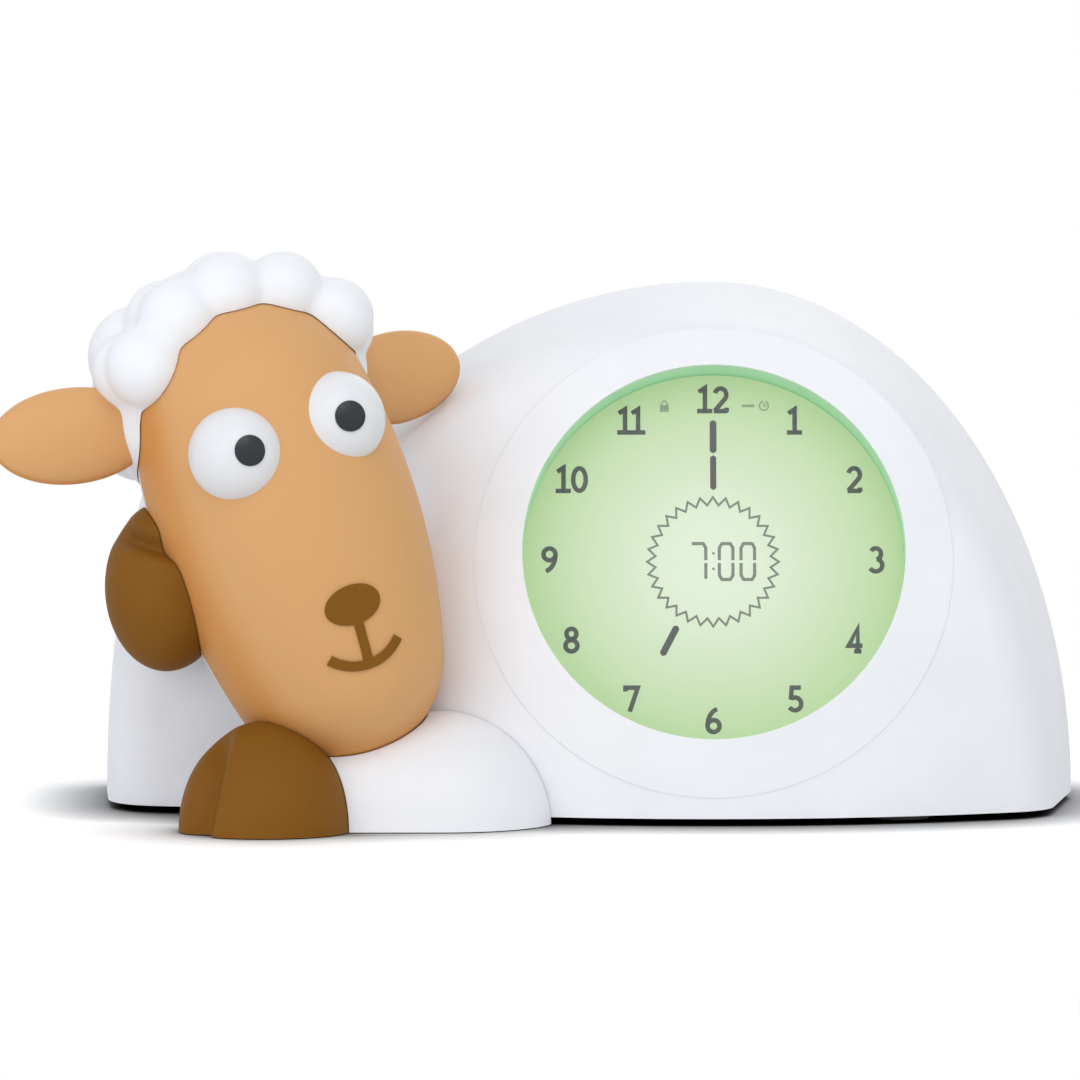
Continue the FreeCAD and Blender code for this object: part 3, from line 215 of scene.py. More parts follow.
def moulded(name, colour, rough=0.42, grain=GRAIN_DEPTH, mottle=0.02, sheen=0.0, under=0.0, scale=2600,
            gloss=0.35):
    """Moulded plastic: fine spark-eroded grain, faint clouding of colour and uneven gloss."""
    made = Nodes(name)
    cloud = made.noise(CLOUD_SCALE, detail=4)
    made.colour(cloud, [(0.3, shade(colour, 1 - mottle)), (0.7, shade(colour, 1 + mottle))])
    made.roughness(made.noise(GLOSS_SCALE, detail=5), rough - GLOSS_SPREAD, rough + GLOSS_SPREAD)
    made.bump(made.noise(scale, detail=2), 0.35, grain)
    made.set(IOR=1.5, Specular_IOR_Level=gloss)
    if under:
        made.set(Subsurface_Weight=under, Subsurface_Scale=0.004, Subsurface_Radius=(1.0, 0.9, 0.8))
    if sheen:
        made.set(Sheen_Weight=sheen, Sheen_Roughness=0.5)
    return made.material


def metal(name, colour, rough=0.3):
    """Plated steel with fine brushed variation."""
    made = Nodes(name)
    made.colour(made.noise(300, detail=4), [(0.3, shade(colour, 0.88)), (0.7, shade(colour, 1.06))])
    made.roughness(made.noise(900, detail=4), rough - 0.08, rough + 0.1)
    made.bump(made.noise(3000), 0.25, FINE_GRAIN)
    made.set(Metallic=1.0)
    return made.material


def lit(made, share, stops, base):
    """A glow along colour stops, over the same colours darkened to a base."""
    made.link(made.ramp(share, stops, smooth=False), made.shader.inputs["Emission Color"])
    made.colour(share, [(at, shade(colour, base)) for at, colour in stops], smooth=False)


GLASS_RADIUS = 44.5
DISPLAY_STOPS = [(0.0, srgb(228, 241, 217)), (0.25, srgb(223, 237, 209)), (0.5, srgb(209, 229, 192)),
                 (0.75, srgb(196, 221, 172)), (1.0, srgb(182, 216, 153))]


def display_material():
    """Back-lit segment display: pale in the middle, greener towards the rim."""
    made = Nodes("display_green")
    away = made.vector("DISTANCE", made.position(), to_metres(OPEN, (0, 0, GLASS_FRONT)))
    share = made.math("DIVIDE", away, GLASS_RADIUS * MM)
    wobble = made.math("MULTIPLY", made.math("SUBTRACT", made.noise(45), 0.5), 0.05)
    lit(made, made.math("ADD", share, wobble), DISPLAY_STOPS, base=0.3)
    made.set(Emission_Strength=0.7, Specular_IOR_Level=0.1)
    made.roughness(made.noise(400), 0.45, 0.6)
    made.bump(made.noise(1800, detail=2), 0.15, FINE_GRAIN)
    return made.material


RING_BACK = -18
RING_DEPTH = 11
# The ring's own glow, with painted shade: darker towards the back of the recess, brighter at its front edge.
RING_GLOW_AND_SHADE_STOPS = [(0.0, srgb(112, 178, 128)), (0.14, srgb(124, 190, 140)), (0.24, srgb(146, 202, 156)),
              (1.0, srgb(162, 210, 168))]


def light_ring_material():
    """Lit light guide around the display, brighter towards its front edge; the darker back of the recess is
    painted shade over its own glow.
    """
    made = Nodes("green_light")
    outward = (DIAL.to_3x3() @ Vector((0, 0, 1))).normalized()
    shift = made.vector("SUBTRACT", made.position(), to_metres(OPEN, (0, 0, RING_BACK)), "Vector")
    share = made.math("DIVIDE", made.vector("DOT_PRODUCT", shift, outward), RING_DEPTH * MM)
    # Glow and base colour both darken deeper in the recess: painted shade.
    lit(made, share, RING_GLOW_AND_SHADE_STOPS, base=0.4)
    made.set(Emission_Strength=0.6, Specular_IOR_Level=0.3)
    made.roughness(made.noise(300), 0.32, 0.42)
    made.bump(made.noise(2200, detail=2), 0.2, FINE_GRAIN)
    return made.material


def window_material():
    """Clear cover with a trace of haze."""
    made = Nodes("clear_window")
    made.colour(made.noise(60), [(0.2, (0.97, 0.99, 0.97, 1)), (0.8, (1, 1, 1, 1))])
    made.roughness(made.noise(120, detail=4), 0.03, 0.08)
    made.set(Alpha=0.06, IOR=1.45)
    return made.material


# The way the tan surface is painted lightest; it turns to painted shade as it faces away from it.
PAINTED_LIGHT_WAY = (HEAD.to_3x3() @ Vector((0.1, -1, 0.25))).normalized()


def face_material(name, colour, edge_shade):
    """Tan plastic with painted shade: warmer, darker edges where the surface turns away from the front."""
    made = Nodes(name)
    normal = made.add("ShaderNodeNewGeometry").outputs["Normal"]
    facing = made.vector("DOT_PRODUCT", normal, PAINTED_LIGHT_WAY)
    turn = made.math("ADD", facing, made.math("MULTIPLY", made.noise(30), 0.06))
    # Painted shade: warmer, darker tan where the surface faces away from the front.
    made.colour(turn, [(0.0, shade(edge_shade, 0.96)), (0.22, edge_shade), (0.6, colour)])
    made.roughness(made.noise(150, detail=5), 0.4, 0.52)
    made.bump(made.noise(2400, detail=2), 0.35, GRAIN_DEPTH)
    made.set(Subsurface_Weight=0.06, Subsurface_Scale=0.003, Specular_IOR_Level=0.22)
    return made.material


def board_material():
    """Circuit board: solder mask with faint tracks."""
    made = Nodes("board_green")
    tracks = made.add("ShaderNodeTexBrick", Scale=260.0)
    tracks.inputs["Color1"].default_value = srgb(26, 96, 52)
    tracks.inputs["Color2"].default_value = srgb(20, 82, 44)
    tracks.inputs["Mortar"].default_value = srgb(64, 130, 70)
    tracks.inputs["Mortar Size"].default_value = 0.03
    made.link(made.position(), tracks.inputs["Vector"])
    made.link(tracks.outputs["Color"], made.shader.inputs["Base Color"])
    made.roughness(made.noise(500), 0.3, 0.42)
    made.bump(tracks.outputs["Fac"], 0.2, 0.00003)
    return made.material


WHITE = srgb(238, 239, 243)
TAN = srgb(217, 165, 110)
# The warm edge tone of the face is painted shade, not a second colour of the plastic.
PAINTED_EDGE_SHADE = srgb(210, 147, 80)
BROWN = srgb(130, 85, 24)

LOOKS = {
    "white_plastic": moulded("white_plastic", WHITE, rough=0.46, under=0.05),
    "wool_white": moulded("wool_white", srgb(241, 243, 247), rough=0.6, grain=0.00004, under=0.1, scale=1500),
    "tan_plastic": face_material("tan_plastic", TAN, PAINTED_EDGE_SHADE),
    "brown_plastic": moulded("brown_plastic", BROWN, rough=0.6, mottle=0.05, gloss=0.12),
    "eye_white": moulded("eye_white", srgb(228, 229, 232), rough=0.36, grain=FINE_GRAIN),
    "pupil_dark": moulded("pupil_dark", srgb(38, 42, 47), rough=0.3, grain=FINE_GRAIN, mottle=0.08),
    "green_light": light_ring_material(),
    "display_green": display_material(),
    "diffuser_white": moulded("diffuser_white", srgb(240, 242, 240), rough=0.5, under=0.2),
    "clear_window": window_material(),
    "board_green": board_material(),
    "lamp_white": moulded("lamp_white", srgb(244, 240, 205), rough=0.3),
    "connector_white": moulded("connector_white", srgb(232, 230, 220), rough=0.5),
    "black_plastic": moulded("black_plastic", srgb(42, 43, 46), rough=0.5, mottle=0.08),
    "button_grey": moulded("button_grey", srgb(214, 217, 221), rough=0.5, grain=0.00003),
    "steel": metal("steel", (0.62, 0.62, 0.64)),
    "rubber": moulded("rubber", srgb(86, 87, 90), rough=0.8, grain=0.00005, mottle=0.08, sheen=0.2),
    "battery": moulded("battery", srgb(70, 104, 84), rough=0.35, mottle=0.05),
}
INK = moulded("display_ink", srgb(50, 55, 51), rough=0.5, grain=INK_GRAIN, mottle=0.06, gloss=0.1)
THIN_INK = moulded("display_segment", srgb(112, 120, 106), rough=0.5, grain=INK_GRAIN, mottle=0.08,
                   gloss=0.1)
FAINT_INK = moulded("display_faint", srgb(140, 156, 122), rough=0.4, grain=INK_GRAIN, mottle=0.06)
PRINT = moulded("print_grey", srgb(120, 124, 130), rough=0.6, grain=INK_GRAIN)

SLOTS = {item["node"]: item["material_slot"] for item in frame["record"]["subparts"]}
for node, thing in NODES.items():
    thing.data.materials.clear()
    thing.data.materials.append(LOOKS[SLOTS[node]])


# Mesh helpers


def finish_piece(name, mesh, material, body=BODY, smooth=True, angle=35):
    thing = bpy.data.objects.new(name, mesh)
    bpy.context.scene.collection.objects.link(thing)
    mesh.materials.append(material)
    if smooth:
        for face in mesh.polygons:
            face.use_smooth = True
        mesh.set_sharp_from_angle(angle=math.radians(angle))
    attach(thing, body)
    return thing


# The least cosine of half a corner's turn, so that the mitre of a sharp corner doesn't shoot out
LEAST_MITRE = 0.35
NO_LENGTH = 1e-6


def ribbon(build, points, width, matrix, low, high, closed=False):
    """A flat stroke of one width along points of a plane, with square ends and mitred corners."""
    count = len(points)
    flat = [Vector(point) for point in points]
    sides = []
    for index, point in enumerate(flat):
        before = flat[index - 1] if (index > 0 or closed) else None
        after = flat[(index + 1) % count] if (index < count - 1 or closed) else None
        ways = []
        if before is not None:
            ways.append((point - before).normalized())
        if after is not None:
            ways.append((after - point).normalized())
        along = sum(ways, Vector((0, 0)))
        along = along.normalized() if along.length > NO_LENGTH else ways[0]
        across = Vector((-along.y, along.x))
        stretch = 1 / max(LEAST_MITRE, abs(across.dot(Vector((-ways[0].y, ways[0].x)))))
        sides.append((point + across * width / 2 * stretch, point - across * width / 2 * stretch))
    rows = []
    for left, right in sides:
        rows.append([build.verts.new(to_metres(matrix, (side.x, side.y, level)))
                     for level in (low, high) for side in (left, right)])
    last = count if closed else count - 1
    for index in range(last):
        one, two = rows[index], rows[(index + 1) % count]
        build.faces.new((one[2], one[3], two[3], two[2]))
        build.faces.new((one[0], two[0], two[1], one[1]))
        build.faces.new((one[0], one[2], two[2], two[0]))
        build.faces.new((one[1], two[1], two[3], one[3]))
    if not closed:
        for row in (rows[0], rows[-1]):
            build.faces.new((row[0], row[1], row[3], row[2]))


def mesh_of(build, name):
    bmesh.ops.recalc_face_normals(build, faces=build.faces)
    mesh = bpy.data.meshes.new(name)
    build.to_mesh(mesh)
    build.free()
    return mesh


def arc(x, y, x_radius, y_radius, start, end, steps=14):
    out = []
    for step in range(steps + 1):
        turn = math.radians(start + (end - start) * step / steps)
        out.append((x + x_radius * math.cos(turn), y + y_radius * math.sin(turn)))
    return out


# Display: numerals, hands, toothed ring, digits and small signs


def loop(x, y, x_radius, y_radius, steps=20):
    """A closed oval stroke: the step from 345 degrees back to the start closes it."""
    return arc(x, y, x_radius, y_radius, 0, 345, steps), True


def stroke(*points):
    return list(points), False


# Numerals in shares of their height: the width, then the strokes
FOOT = 0.055
STROKES = {
    "0": (0.62, [loop(0.31, 0.5, 0.24, 0.44, 22)]),
    "1": (0.6, [stroke((0.32, 0.0), (0.32, 0.96), (0.08, 0.8)), stroke((0.02, FOOT), (0.6, FOOT))]),
    "2": (0.6, [stroke(*arc(0.3, 0.69, 0.22, 0.25, 165, -35), (0.07, 0.06)),
                stroke((0.04, FOOT), (0.56, FOOT)), stroke((0.53, 0.02), (0.53, 0.19))]),
    "3": (0.6, [stroke(*arc(0.27, 0.72, 0.2, 0.22, 150, -80)),
                stroke(*arc(0.27, 0.28, 0.25, 0.24, 80, -150))]),
    "4": (0.64, [stroke((0.42, 0.0), (0.42, 0.94), (0.07, 0.27), (0.6, 0.27)),
                 stroke((0.28, FOOT), (0.56, FOOT))]),
    "5": (0.58, [stroke((0.5, 0.93), (0.15, 0.93), (0.12, 0.54), *arc(0.27, 0.3, 0.24, 0.25, 115, -150))]),
    "6": (0.6, [loop(0.3, 0.28, 0.23, 0.23), stroke(*arc(0.52, 0.28, 0.45, 0.66, 180, 100, 10))]),
    "7": (0.58, [stroke((0.06, 0.78), (0.06, 0.93), (0.53, 0.93), (0.22, 0.0))]),
    "8": (0.6, [loop(0.3, 0.73, 0.19, 0.2), loop(0.3, 0.27, 0.23, 0.22)]),
    "9": (0.6, [loop(0.3, 0.7, 0.23, 0.23), stroke(*arc(0.08, 0.7, 0.45, 0.66, 0, -80, 10))]),
}
INK_LOW = GLASS_FRONT + 0.02
INK_HIGH = GLASS_FRONT + 0.12
PRINT_UP = 0.3
NUMERAL_RADIUS = 36.2
NUMERAL_UP = 0.8
NUMERAL_HEIGHT = 5.8
NUMERAL_STROKE = 0.175
NUMERAL_GAP = 0.02
SHARED_FOOT_GAP = -0.1


def ink_line(build, points, width, closed=False):
    """A ribbon printed on the display's glass."""
    ribbon(build, points, width, OPEN, INK_LOW, INK_HIGH, closed)


def write(build, text, x, y):
    """An upright numeral centred on a point of the display; the ones of 11 share a foot."""
    gap = SHARED_FOOT_GAP if text == "11" else NUMERAL_GAP
    total = sum(STROKES[letter][0] for letter in text) + gap * (len(text) - 1)
    left = x - total * NUMERAL_HEIGHT / 2
    for letter in text:
        width, paths = STROKES[letter]
        for points, closed in paths:
            path = [(left + px * NUMERAL_HEIGHT, y + (py - 0.5) * NUMERAL_HEIGHT) for px, py in points]
            ink_line(build, path, NUMERAL_STROKE * NUMERAL_HEIGHT, closed)
        left += (width + gap) * NUMERAL_HEIGHT


def numerals():
    build = bmesh.new()
    for hour in range(1, 13):
        turn = math.radians(90 - 30 * hour)
        write(build, str(hour), NUMERAL_RADIUS * math.cos(turn), NUMERAL_RADIUS * math.sin(turn) + NUMERAL_UP)
    finish_piece("numerals", mesh_of(build, "numerals"), INK, smooth=False)


# The hands' segments: start, end and width
HAND_BARS = [((0.1, 32.1), (0.1, 24.5), 1.5), ((0.1, 24.1), (0.1, 16.2), 1.35),
             ((-7.9, -14.4), (-11.4, -21.2), 1.5)]
BAR_TIP = 0.35


def bar(build, start, end, width):
    """A hand's segment with short pointed ends."""
    first, last = Vector(start), Vector(end)
    way = (last - first).normalized()
    side = Vector((-way.y, way.x)) * width / 2
    tip = way * width * BAR_TIP
    outline = [first, first + tip + side, last - tip + side, last, last - tip - side, first + tip - side]
    tops = []
    bottoms = []
    for point in outline:
        tops.append(build.verts.new(to_metres(OPEN, (point.x, point.y + PRINT_UP, INK_HIGH))))
        bottoms.append(build.verts.new(to_metres(OPEN, (point.x, point.y + PRINT_UP, INK_LOW))))
    build.faces.new(tops)
    build.faces.new(list(reversed(bottoms)))
    for index in range(len(outline)):
        after = (index + 1) % len(outline)
        build.faces.new((bottoms[index], bottoms[after], tops[after], tops[index]))


def hands():
    build = bmesh.new()
    for start, end, width in HAND_BARS:
        bar(build, start, end, width)
    finish_piece("hands", mesh_of(build, "hands"), INK, smooth=False)


TEETH = 32
TOOTH_TIP = 14.6
TOOTH_ROOT = 12.8
TOOTH_LINE = 0.46


def toothed_ring():
    build = bmesh.new()
    points = []
    for index in range(2 * TEETH):
        radius = TOOTH_TIP if index % 2 == 0 else TOOTH_ROOT
        turn = math.pi * index / TEETH
        points.append((radius * math.cos(turn), radius * math.sin(turn) + PRINT_UP))
    ink_line(build, points, TOOTH_LINE, closed=True)
    finish_piece("toothed_ring", mesh_of(build, "toothed_ring"), THIN_INK, smooth=False)


# Segment digits: paths in shares of the height, and the left edge of each digit
LIT = {
    "0": [[(0.0, 0.54), (0.0, 0.88), (0.1, 1.0), (0.44, 1.0), (0.54, 0.88), (0.54, 0.54)],
          [(0.0, 0.46), (0.0, 0.12), (0.1, 0.0), (0.44, 0.0), (0.54, 0.12), (0.54, 0.46)]],
    "7": [[(-0.02, 1.0), (0.44, 1.0), (0.54, 0.88), (0.54, 0.54)], [(0.54, 0.46), (0.54, 0.02)]],
}
DIGITS = (("7", -4.6), ("0", 1.4), ("0", 6.2))
DIGIT_HEIGHT = 8.1
DIGIT_SPREAD = 0.6864 * DIGIT_HEIGHT
DIGIT_LOW = -4.0
DIGIT_LINE = 0.7
COLON_SIDES = (-0.15, 0.35)
COLON_LEVELS = (-1.6, 1.9)
COLON_DOT = 0.5


def digits():
    build = bmesh.new()
    for text, left in DIGITS:
        for path in LIT[text]:
            points = [(left + x * DIGIT_SPREAD, DIGIT_LOW + y * DIGIT_HEIGHT + PRINT_UP) for x, y in path]
            ink_line(build, points, DIGIT_LINE)
    for y in COLON_LEVELS:
        ink_line(build, [(x, y + PRINT_UP) for x in COLON_SIDES], COLON_DOT)
    finish_piece("digits", mesh_of(build, "digits"), THIN_INK, smooth=False)


SIGN_LEVEL = 35.6
SIGN_LINE = 0.3
LOCK_MIDDLE = -10.7
LOCK_HALF = 1.0
LOCK_HEIGHT = 1.5
LOCK_DROP = 0.6
BOW_RADIUS = 0.65
DASH_ENDS = (6.5, 9.3)
DASH_LINE = 0.55
DISC_MIDDLE = 11.4
DISC_RADIUS = 1.0
POINTER_LINE = 0.24


def small_signs():
    """A tiny padlock, a dash and a small clock between the numerals."""
    build = bmesh.new()
    lock_sides = (LOCK_MIDDLE - LOCK_HALF, LOCK_MIDDLE + LOCK_HALF)
    ink_line(build, [(x, SIGN_LEVEL - LOCK_DROP) for x in lock_sides], LOCK_HEIGHT)
    ink_line(build, arc(LOCK_MIDDLE, SIGN_LEVEL + 0.1, BOW_RADIUS, LOCK_HALF, 0, 180, 8), SIGN_LINE)
    ink_line(build, [(x, SIGN_LEVEL) for x in DASH_ENDS], DASH_LINE)
    ink_line(build, arc(DISC_MIDDLE, SIGN_LEVEL, DISC_RADIUS, DISC_RADIUS, 100, 430, 16), SIGN_LINE)
    ink_line(build, [(DISC_MIDDLE, SIGN_LEVEL + 0.6), (DISC_MIDDLE, SIGN_LEVEL),
                     (DISC_MIDDLE + 0.5, SIGN_LEVEL - 0.15)], POINTER_LINE)
    finish_piece("small_signs", mesh_of(build, "small_signs"), FAINT_INK, smooth=False)


# The gap round the dial ring: its middle radius, and the dome whose surface it follows
GROOVE_MIDDLE = 52.875
GROOVE_WIDTH = 0.13
GROOVE_STEPS = 180
DOME_RADIUS = 150


def groove_strip():
    """Pale strip in the gap round the dial ring, so that the parting line stays faint."""
    build = bmesh.new()
    depth = math.sqrt(DOME_RADIUS ** 2 - GROOVE_MIDDLE ** 2) - DOME_RADIUS
    points = []
    for step in range(GROOVE_STEPS):
        turn = 2 * math.pi * step / GROOVE_STEPS
        points.append((GROOVE_MIDDLE * math.cos(turn), GROOVE_MIDDLE * math.sin(turn)))
    ribbon(build, points, GROOVE_WIDTH, DIAL, depth - 0.5, depth - 0.1, closed=True)
    finish_piece("groove_strip", mesh_of(build, "groove_strip"), LOOKS["white_plastic"])
groove_strip()
numerals()
hands()
toothed_ring()
digits()
small_signs()


# Wool, hooves and ears: soft forms with clean edges where they meet the head

# The head, repeated from the source: two end balls joined by a side arc of one radius
CROWN_RADIUS = 26.5
CHIN_RADIUS = 24.5
HEAD_SIDE = 140
HEAD_HALF = 29
CROWN_UP = math.sqrt((HEAD_SIDE - CROWN_RADIUS) ** 2 - (HEAD_SIDE - HEAD_HALF) ** 2)
CHIN_UP = -math.sqrt((HEAD_SIDE - CHIN_RADIUS) ** 2 - (HEAD_SIDE - HEAD_HALF) ** 2)
CROWN = HEAD @ turned(0, 0, CROWN_UP)
EARS = {
    "left_ear": HEAD @ turned(-39, 4, 32, yaw=180, pitch=-12),
    "right_ear": HEAD @ turned(41.5, 17, 21, pitch=4),
}
EAR_HALVES = (18.5, 5, 10.6)
# Room in the wool for the cheek hoof
PAW = turned(-82, -31, 52.5)
PAW_HALVES = (13.5, 15, 18.7)
CLEAR_OF_HEAD = 0.3
CLEAR_OF_LIMBS = 0.4
FINE_BALL = 5


def turned_profile(build, profile, matrix, steps=32):
    """A body turned from a profile of radii and heights, closed at both ends on its axis."""
    rings = []
    for radius, height in profile:
        if radius < NO_LENGTH:
            rings.append([build.verts.new(to_metres(matrix, (0, 0, height)))])
            continue
        ring = []
        for step in range(steps):
            turn = 2 * math.pi * step / steps
            point = (radius * math.cos(turn), radius * math.sin(turn), height)
            ring.append(build.verts.new(to_metres(matrix, point)))
        rings.append(ring)
    for low, high in zip(rings, rings[1:]):
        for step in range(steps):
            after = (step + 1) % steps
            places = ((low, step), (low, after), (high, after), (high, step))
            corners = [ring[place % len(ring)] for ring, place in places]
            build.faces.new(list(dict.fromkeys(corners)))


def block(build, x, y, z, matrix):
    """A box from its limits along each axis."""
    corners = [build.verts.new(to_metres(matrix, (px, py, pz))) for px in x for py in y for pz in z]
    for face in ((0, 1, 3, 2), (4, 6, 7, 5), (0, 4, 5, 1), (2, 3, 7, 6), (0, 2, 6, 4), (1, 5, 7, 3)):
        build.faces.new([corners[index] for index in face])


def egg_profile(grow, steps=48):
    """The head's outline from chin to crown as radii and heights along its axis."""
    low = CHIN_UP - CHIN_RADIUS - grow
    high = CROWN_UP + CROWN_RADIUS + grow
    tangent_high = HEAD_SIDE / (HEAD_SIDE - CROWN_RADIUS) * CROWN_UP
    tangent_low = HEAD_SIDE / (HEAD_SIDE - CHIN_RADIUS) * CHIN_UP
    out = []
    for step in range(steps + 1):
        level = low + (high - low) * (1 - math.cos(math.pi * step / steps)) / 2
        if level > tangent_high:
            reach = (CROWN_RADIUS + grow) ** 2 - (level - CROWN_UP) ** 2
            radius = math.sqrt(max(0, reach))
        elif level < tangent_low:
            reach = (CHIN_RADIUS + grow) ** 2 - (level - CHIN_UP) ** 2
            radius = math.sqrt(max(0, reach))
        else:
            radius = HEAD_HALF - HEAD_SIDE + math.sqrt((HEAD_SIDE + grow) ** 2 - level ** 2)
        out.append((radius, level))
    out[0] = (0, low)
    out[-1] = (0, high)
    return out


def add_ball(build, matrix, halves, fine=4):
    """An ellipsoid of three half axes in a frame."""
    made = bmesh.ops.create_icosphere(build, subdivisions=fine, radius=1)
    for vert in made["verts"]:
        vert.co = to_metres(matrix, [part * half for part, half in zip(vert.co, halves)])


def linked(name, build):
    thing = bpy.data.objects.new(name, mesh_of(build, name))
    bpy.context.scene.collection.objects.link(thing)
    return thing


def egg_tool(grow):
    build = bmesh.new()
    turned_profile(build, egg_profile(grow), HEAD, steps=96)
    return linked("egg_tool", build)


def ball_tool(matrix, halves, grow):
    build = bmesh.new()
    add_ball(build, matrix, [half + grow for half in halves], FINE_BALL)
    return linked("ball_tool", build)


def applied(thing):
    """The mesh of an object with its modifiers, and the object gone."""
    done = bpy.data.meshes.new_from_object(thing.evaluated_get(bpy.context.evaluated_depsgraph_get()))
    done.name = thing.name
    bpy.data.objects.remove(thing)
    done.materials.clear()
    return done


def melt(thing, voxel, rounds):
    """Merge an object's closed forms into one skin, and smooth it."""
    remesh = thing.modifiers.new("remesh", "REMESH")
    remesh.mode = "VOXEL"
    remesh.voxel_size = voxel
    smooth = thing.modifiers.new("smooth", "SMOOTH")
    smooth.factor = 0.5
    smooth.iterations = rounds


def carve(thing, tools, operation="DIFFERENCE", use_self=False):
    """Cut an object by the tools, and remove them once its mesh is taken."""
    for index, tool in enumerate(tools):
        cut = thing.modifiers.new(f"cut_{index}", "BOOLEAN")
        cut.object = tool
        cut.operation = operation
        cut.solver = "EXACT"
        cut.use_self = use_self
    mesh = applied(thing)
    for tool in tools:
        bpy.data.objects.remove(tool)
    return mesh


# Lumps over the crown in rows: lean to the rear, count, and the turns at the row's right and left ends
WOOL_CORE = CROWN @ turned(0, 8, 5)
WOOL_CORE_HALVES = (29, 26, 27)
WOOL_REACH = 28.0
WOOL_LUMP = 9.0
WOOL_ROWS = [(5, 5, 64, -52), (-13, 5, 58, -50), (30, 5, 64, -64), (56, 4, 60, -60)]
# The coat behind, in rings: lean from the head's axis, count and spread
BACK_MIDDLE = HEAD @ turned(0, 12.8, 31)
BACK_CORE = 27.5
BACK_REACH = 20.5
BACK_LUMP = 11.5
BACK_ROWS = [(52, 6, 300), (98, 6, 220), (138, 2, 60)]
WOOL_VOXEL = 0.8
WOOL_SMOOTHING = 16


def wool():
    """Soft merged lumps over and behind the crown, cut clean around head, ears and cheek hoof."""
    build = bmesh.new()
    add_ball(build, WOOL_CORE, WOOL_CORE_HALVES, FINE_BALL)
    for lean, count, right, left in WOOL_ROWS:
        behind = WOOL_REACH * math.sin(math.radians(lean))
        level = WOOL_REACH * math.cos(math.radians(lean))
        for index in range(count):
            side = math.radians(right + (left - right) * index / (count - 1))
            place = (level * math.sin(side), behind, level * math.cos(side))
            add_ball(build, CROWN @ turned(*place), [WOOL_LUMP] * 3)
    add_ball(build, BACK_MIDDLE, [BACK_CORE] * 3, FINE_BALL)
    for lean, count, spread in BACK_ROWS:
        out = BACK_REACH * math.sin(math.radians(lean))
        up = BACK_REACH * math.cos(math.radians(lean))
        for index in range(count):
            turn = math.radians(90 - spread / 2 + index * spread / (count - 1))
            place = (out * math.cos(turn), out * math.sin(turn), up)
            add_ball(build, BACK_MIDDLE @ turned(*place), [BACK_LUMP] * 3)
    thing = linked("wool_lumps", build)
    melt(thing, WOOL_VOXEL * MM, WOOL_SMOOTHING)
    tools = [egg_tool(CLEAR_OF_HEAD), ball_tool(PAW, PAW_HALVES, CLEAR_OF_LIMBS)]
    tools += [ball_tool(where, EAR_HALVES, CLEAR_OF_LIMBS) for where in EARS.values()]
    piece = finish_piece("wool_lumps", carve(thing, tools), LOOKS["wool_white"], angle=50)
    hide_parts("wool_cap")


wool()


# A fold fades in from the side to the front, over this stretch of a hoof's unit sphere
FOLD_START = -0.25
FOLD_FADE = 0.6
UNDER_TABLE = 60


def hoof(name, node, matrix, halves, folds, below=False):
    """A hoof with soft folds between its toes, each given by a point, a way across, a width and a depth."""
    build = bmesh.new()
    made = bmesh.ops.create_icosphere(build, subdivisions=6, radius=1)
    for vert in made["verts"]:
        unit = vert.co.copy()
        point = Vector([part * half for part, half in zip(unit, halves)])
        outward = Vector([part / half for part, half in zip(unit, halves)]).normalized()
        front = min(1, max(0, (-unit.y - FOLD_START) / FOLD_FADE))
        front = front * front * (3 - 2 * front)
        sink = 0
        for middle, across, width, depth in folds:
            offset = (point - Vector(middle)).dot(Vector(across).normalized())
            sink += depth * math.exp(-(offset / width) ** 2) * front
        vert.co = to_metres(matrix, point - outward * sink)
    thing = linked(name, build)
    tools = [egg_tool(CLEAR_OF_HEAD)]
    if below:
        under = bmesh.new()
        wide = (-UNDER_TABLE, UNDER_TABLE)
        block(under, wide, wide, (-UNDER_TABLE, 0), matrix)
        tools.append(linked("under_tool", under))
    piece = finish_piece(name, carve(thing, tools), LOOKS["brown_plastic"], angle=50)
    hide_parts(node)


FRONT_HOOF = turned(-60.2, -48.5, 0)
FRONT_HOOF_HALVES = (18.8, 18.5, 24)
FRONT_FOLDS = [((-12.6, 0, 8), (1, 0, -0.2), 2.2, 3.6)]
CHEEK_HOOF = turned(-82, -34, 52.5)
CHEEK_FOLDS = [((-1, 0, 10), (0.25, 0, 1), 2.3, 3.6)]

hoof("front_hoof_form", "front_hoof", FRONT_HOOF, FRONT_HOOF_HALVES, FRONT_FOLDS, below=True)
hoof("cheek_hoof_form", "cheek_hoof", CHEEK_HOOF, PAW_HALVES, CHEEK_FOLDS)


LEAF = HEAD @ turned(38.8, 17, 21, pitch=4)
LEAF_HALVES = (16, 4.8, 10.2)


def right_ear():
    """The ear behind the head, its tip a little rounder and shorter than the solid's."""
    thing = bpy.data.objects.new("right_ear_leaf", NODES["right_ear"].data.copy())
    bpy.context.scene.collection.objects.link(thing)
    mesh = carve(thing, [ball_tool(LEAF, LEAF_HALVES, 0)], operation="INTERSECT")
    piece = finish_piece("right_ear_leaf", mesh, LOOKS["tan_plastic"], angle=50)
    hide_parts("right_ear")


right_ear()


# Screws with cross recesses: head and shank radii, then the head's curve in shares of radius and height

SCREW_HEAD = 2.6
SCREW_SHANK = 1.3
HEAD_CURVE = [(1, 0.45), (0.92, 0.75), (0.7, 0.95)]
POINT_SHARE = 0.7
POINT_HEIGHT = 0.8
CROSS_REACH = SCREW_HEAD * 0.58
CROSS_SLOT = SCREW_HEAD * 0.13
CROSS_FLOOR = 0.25


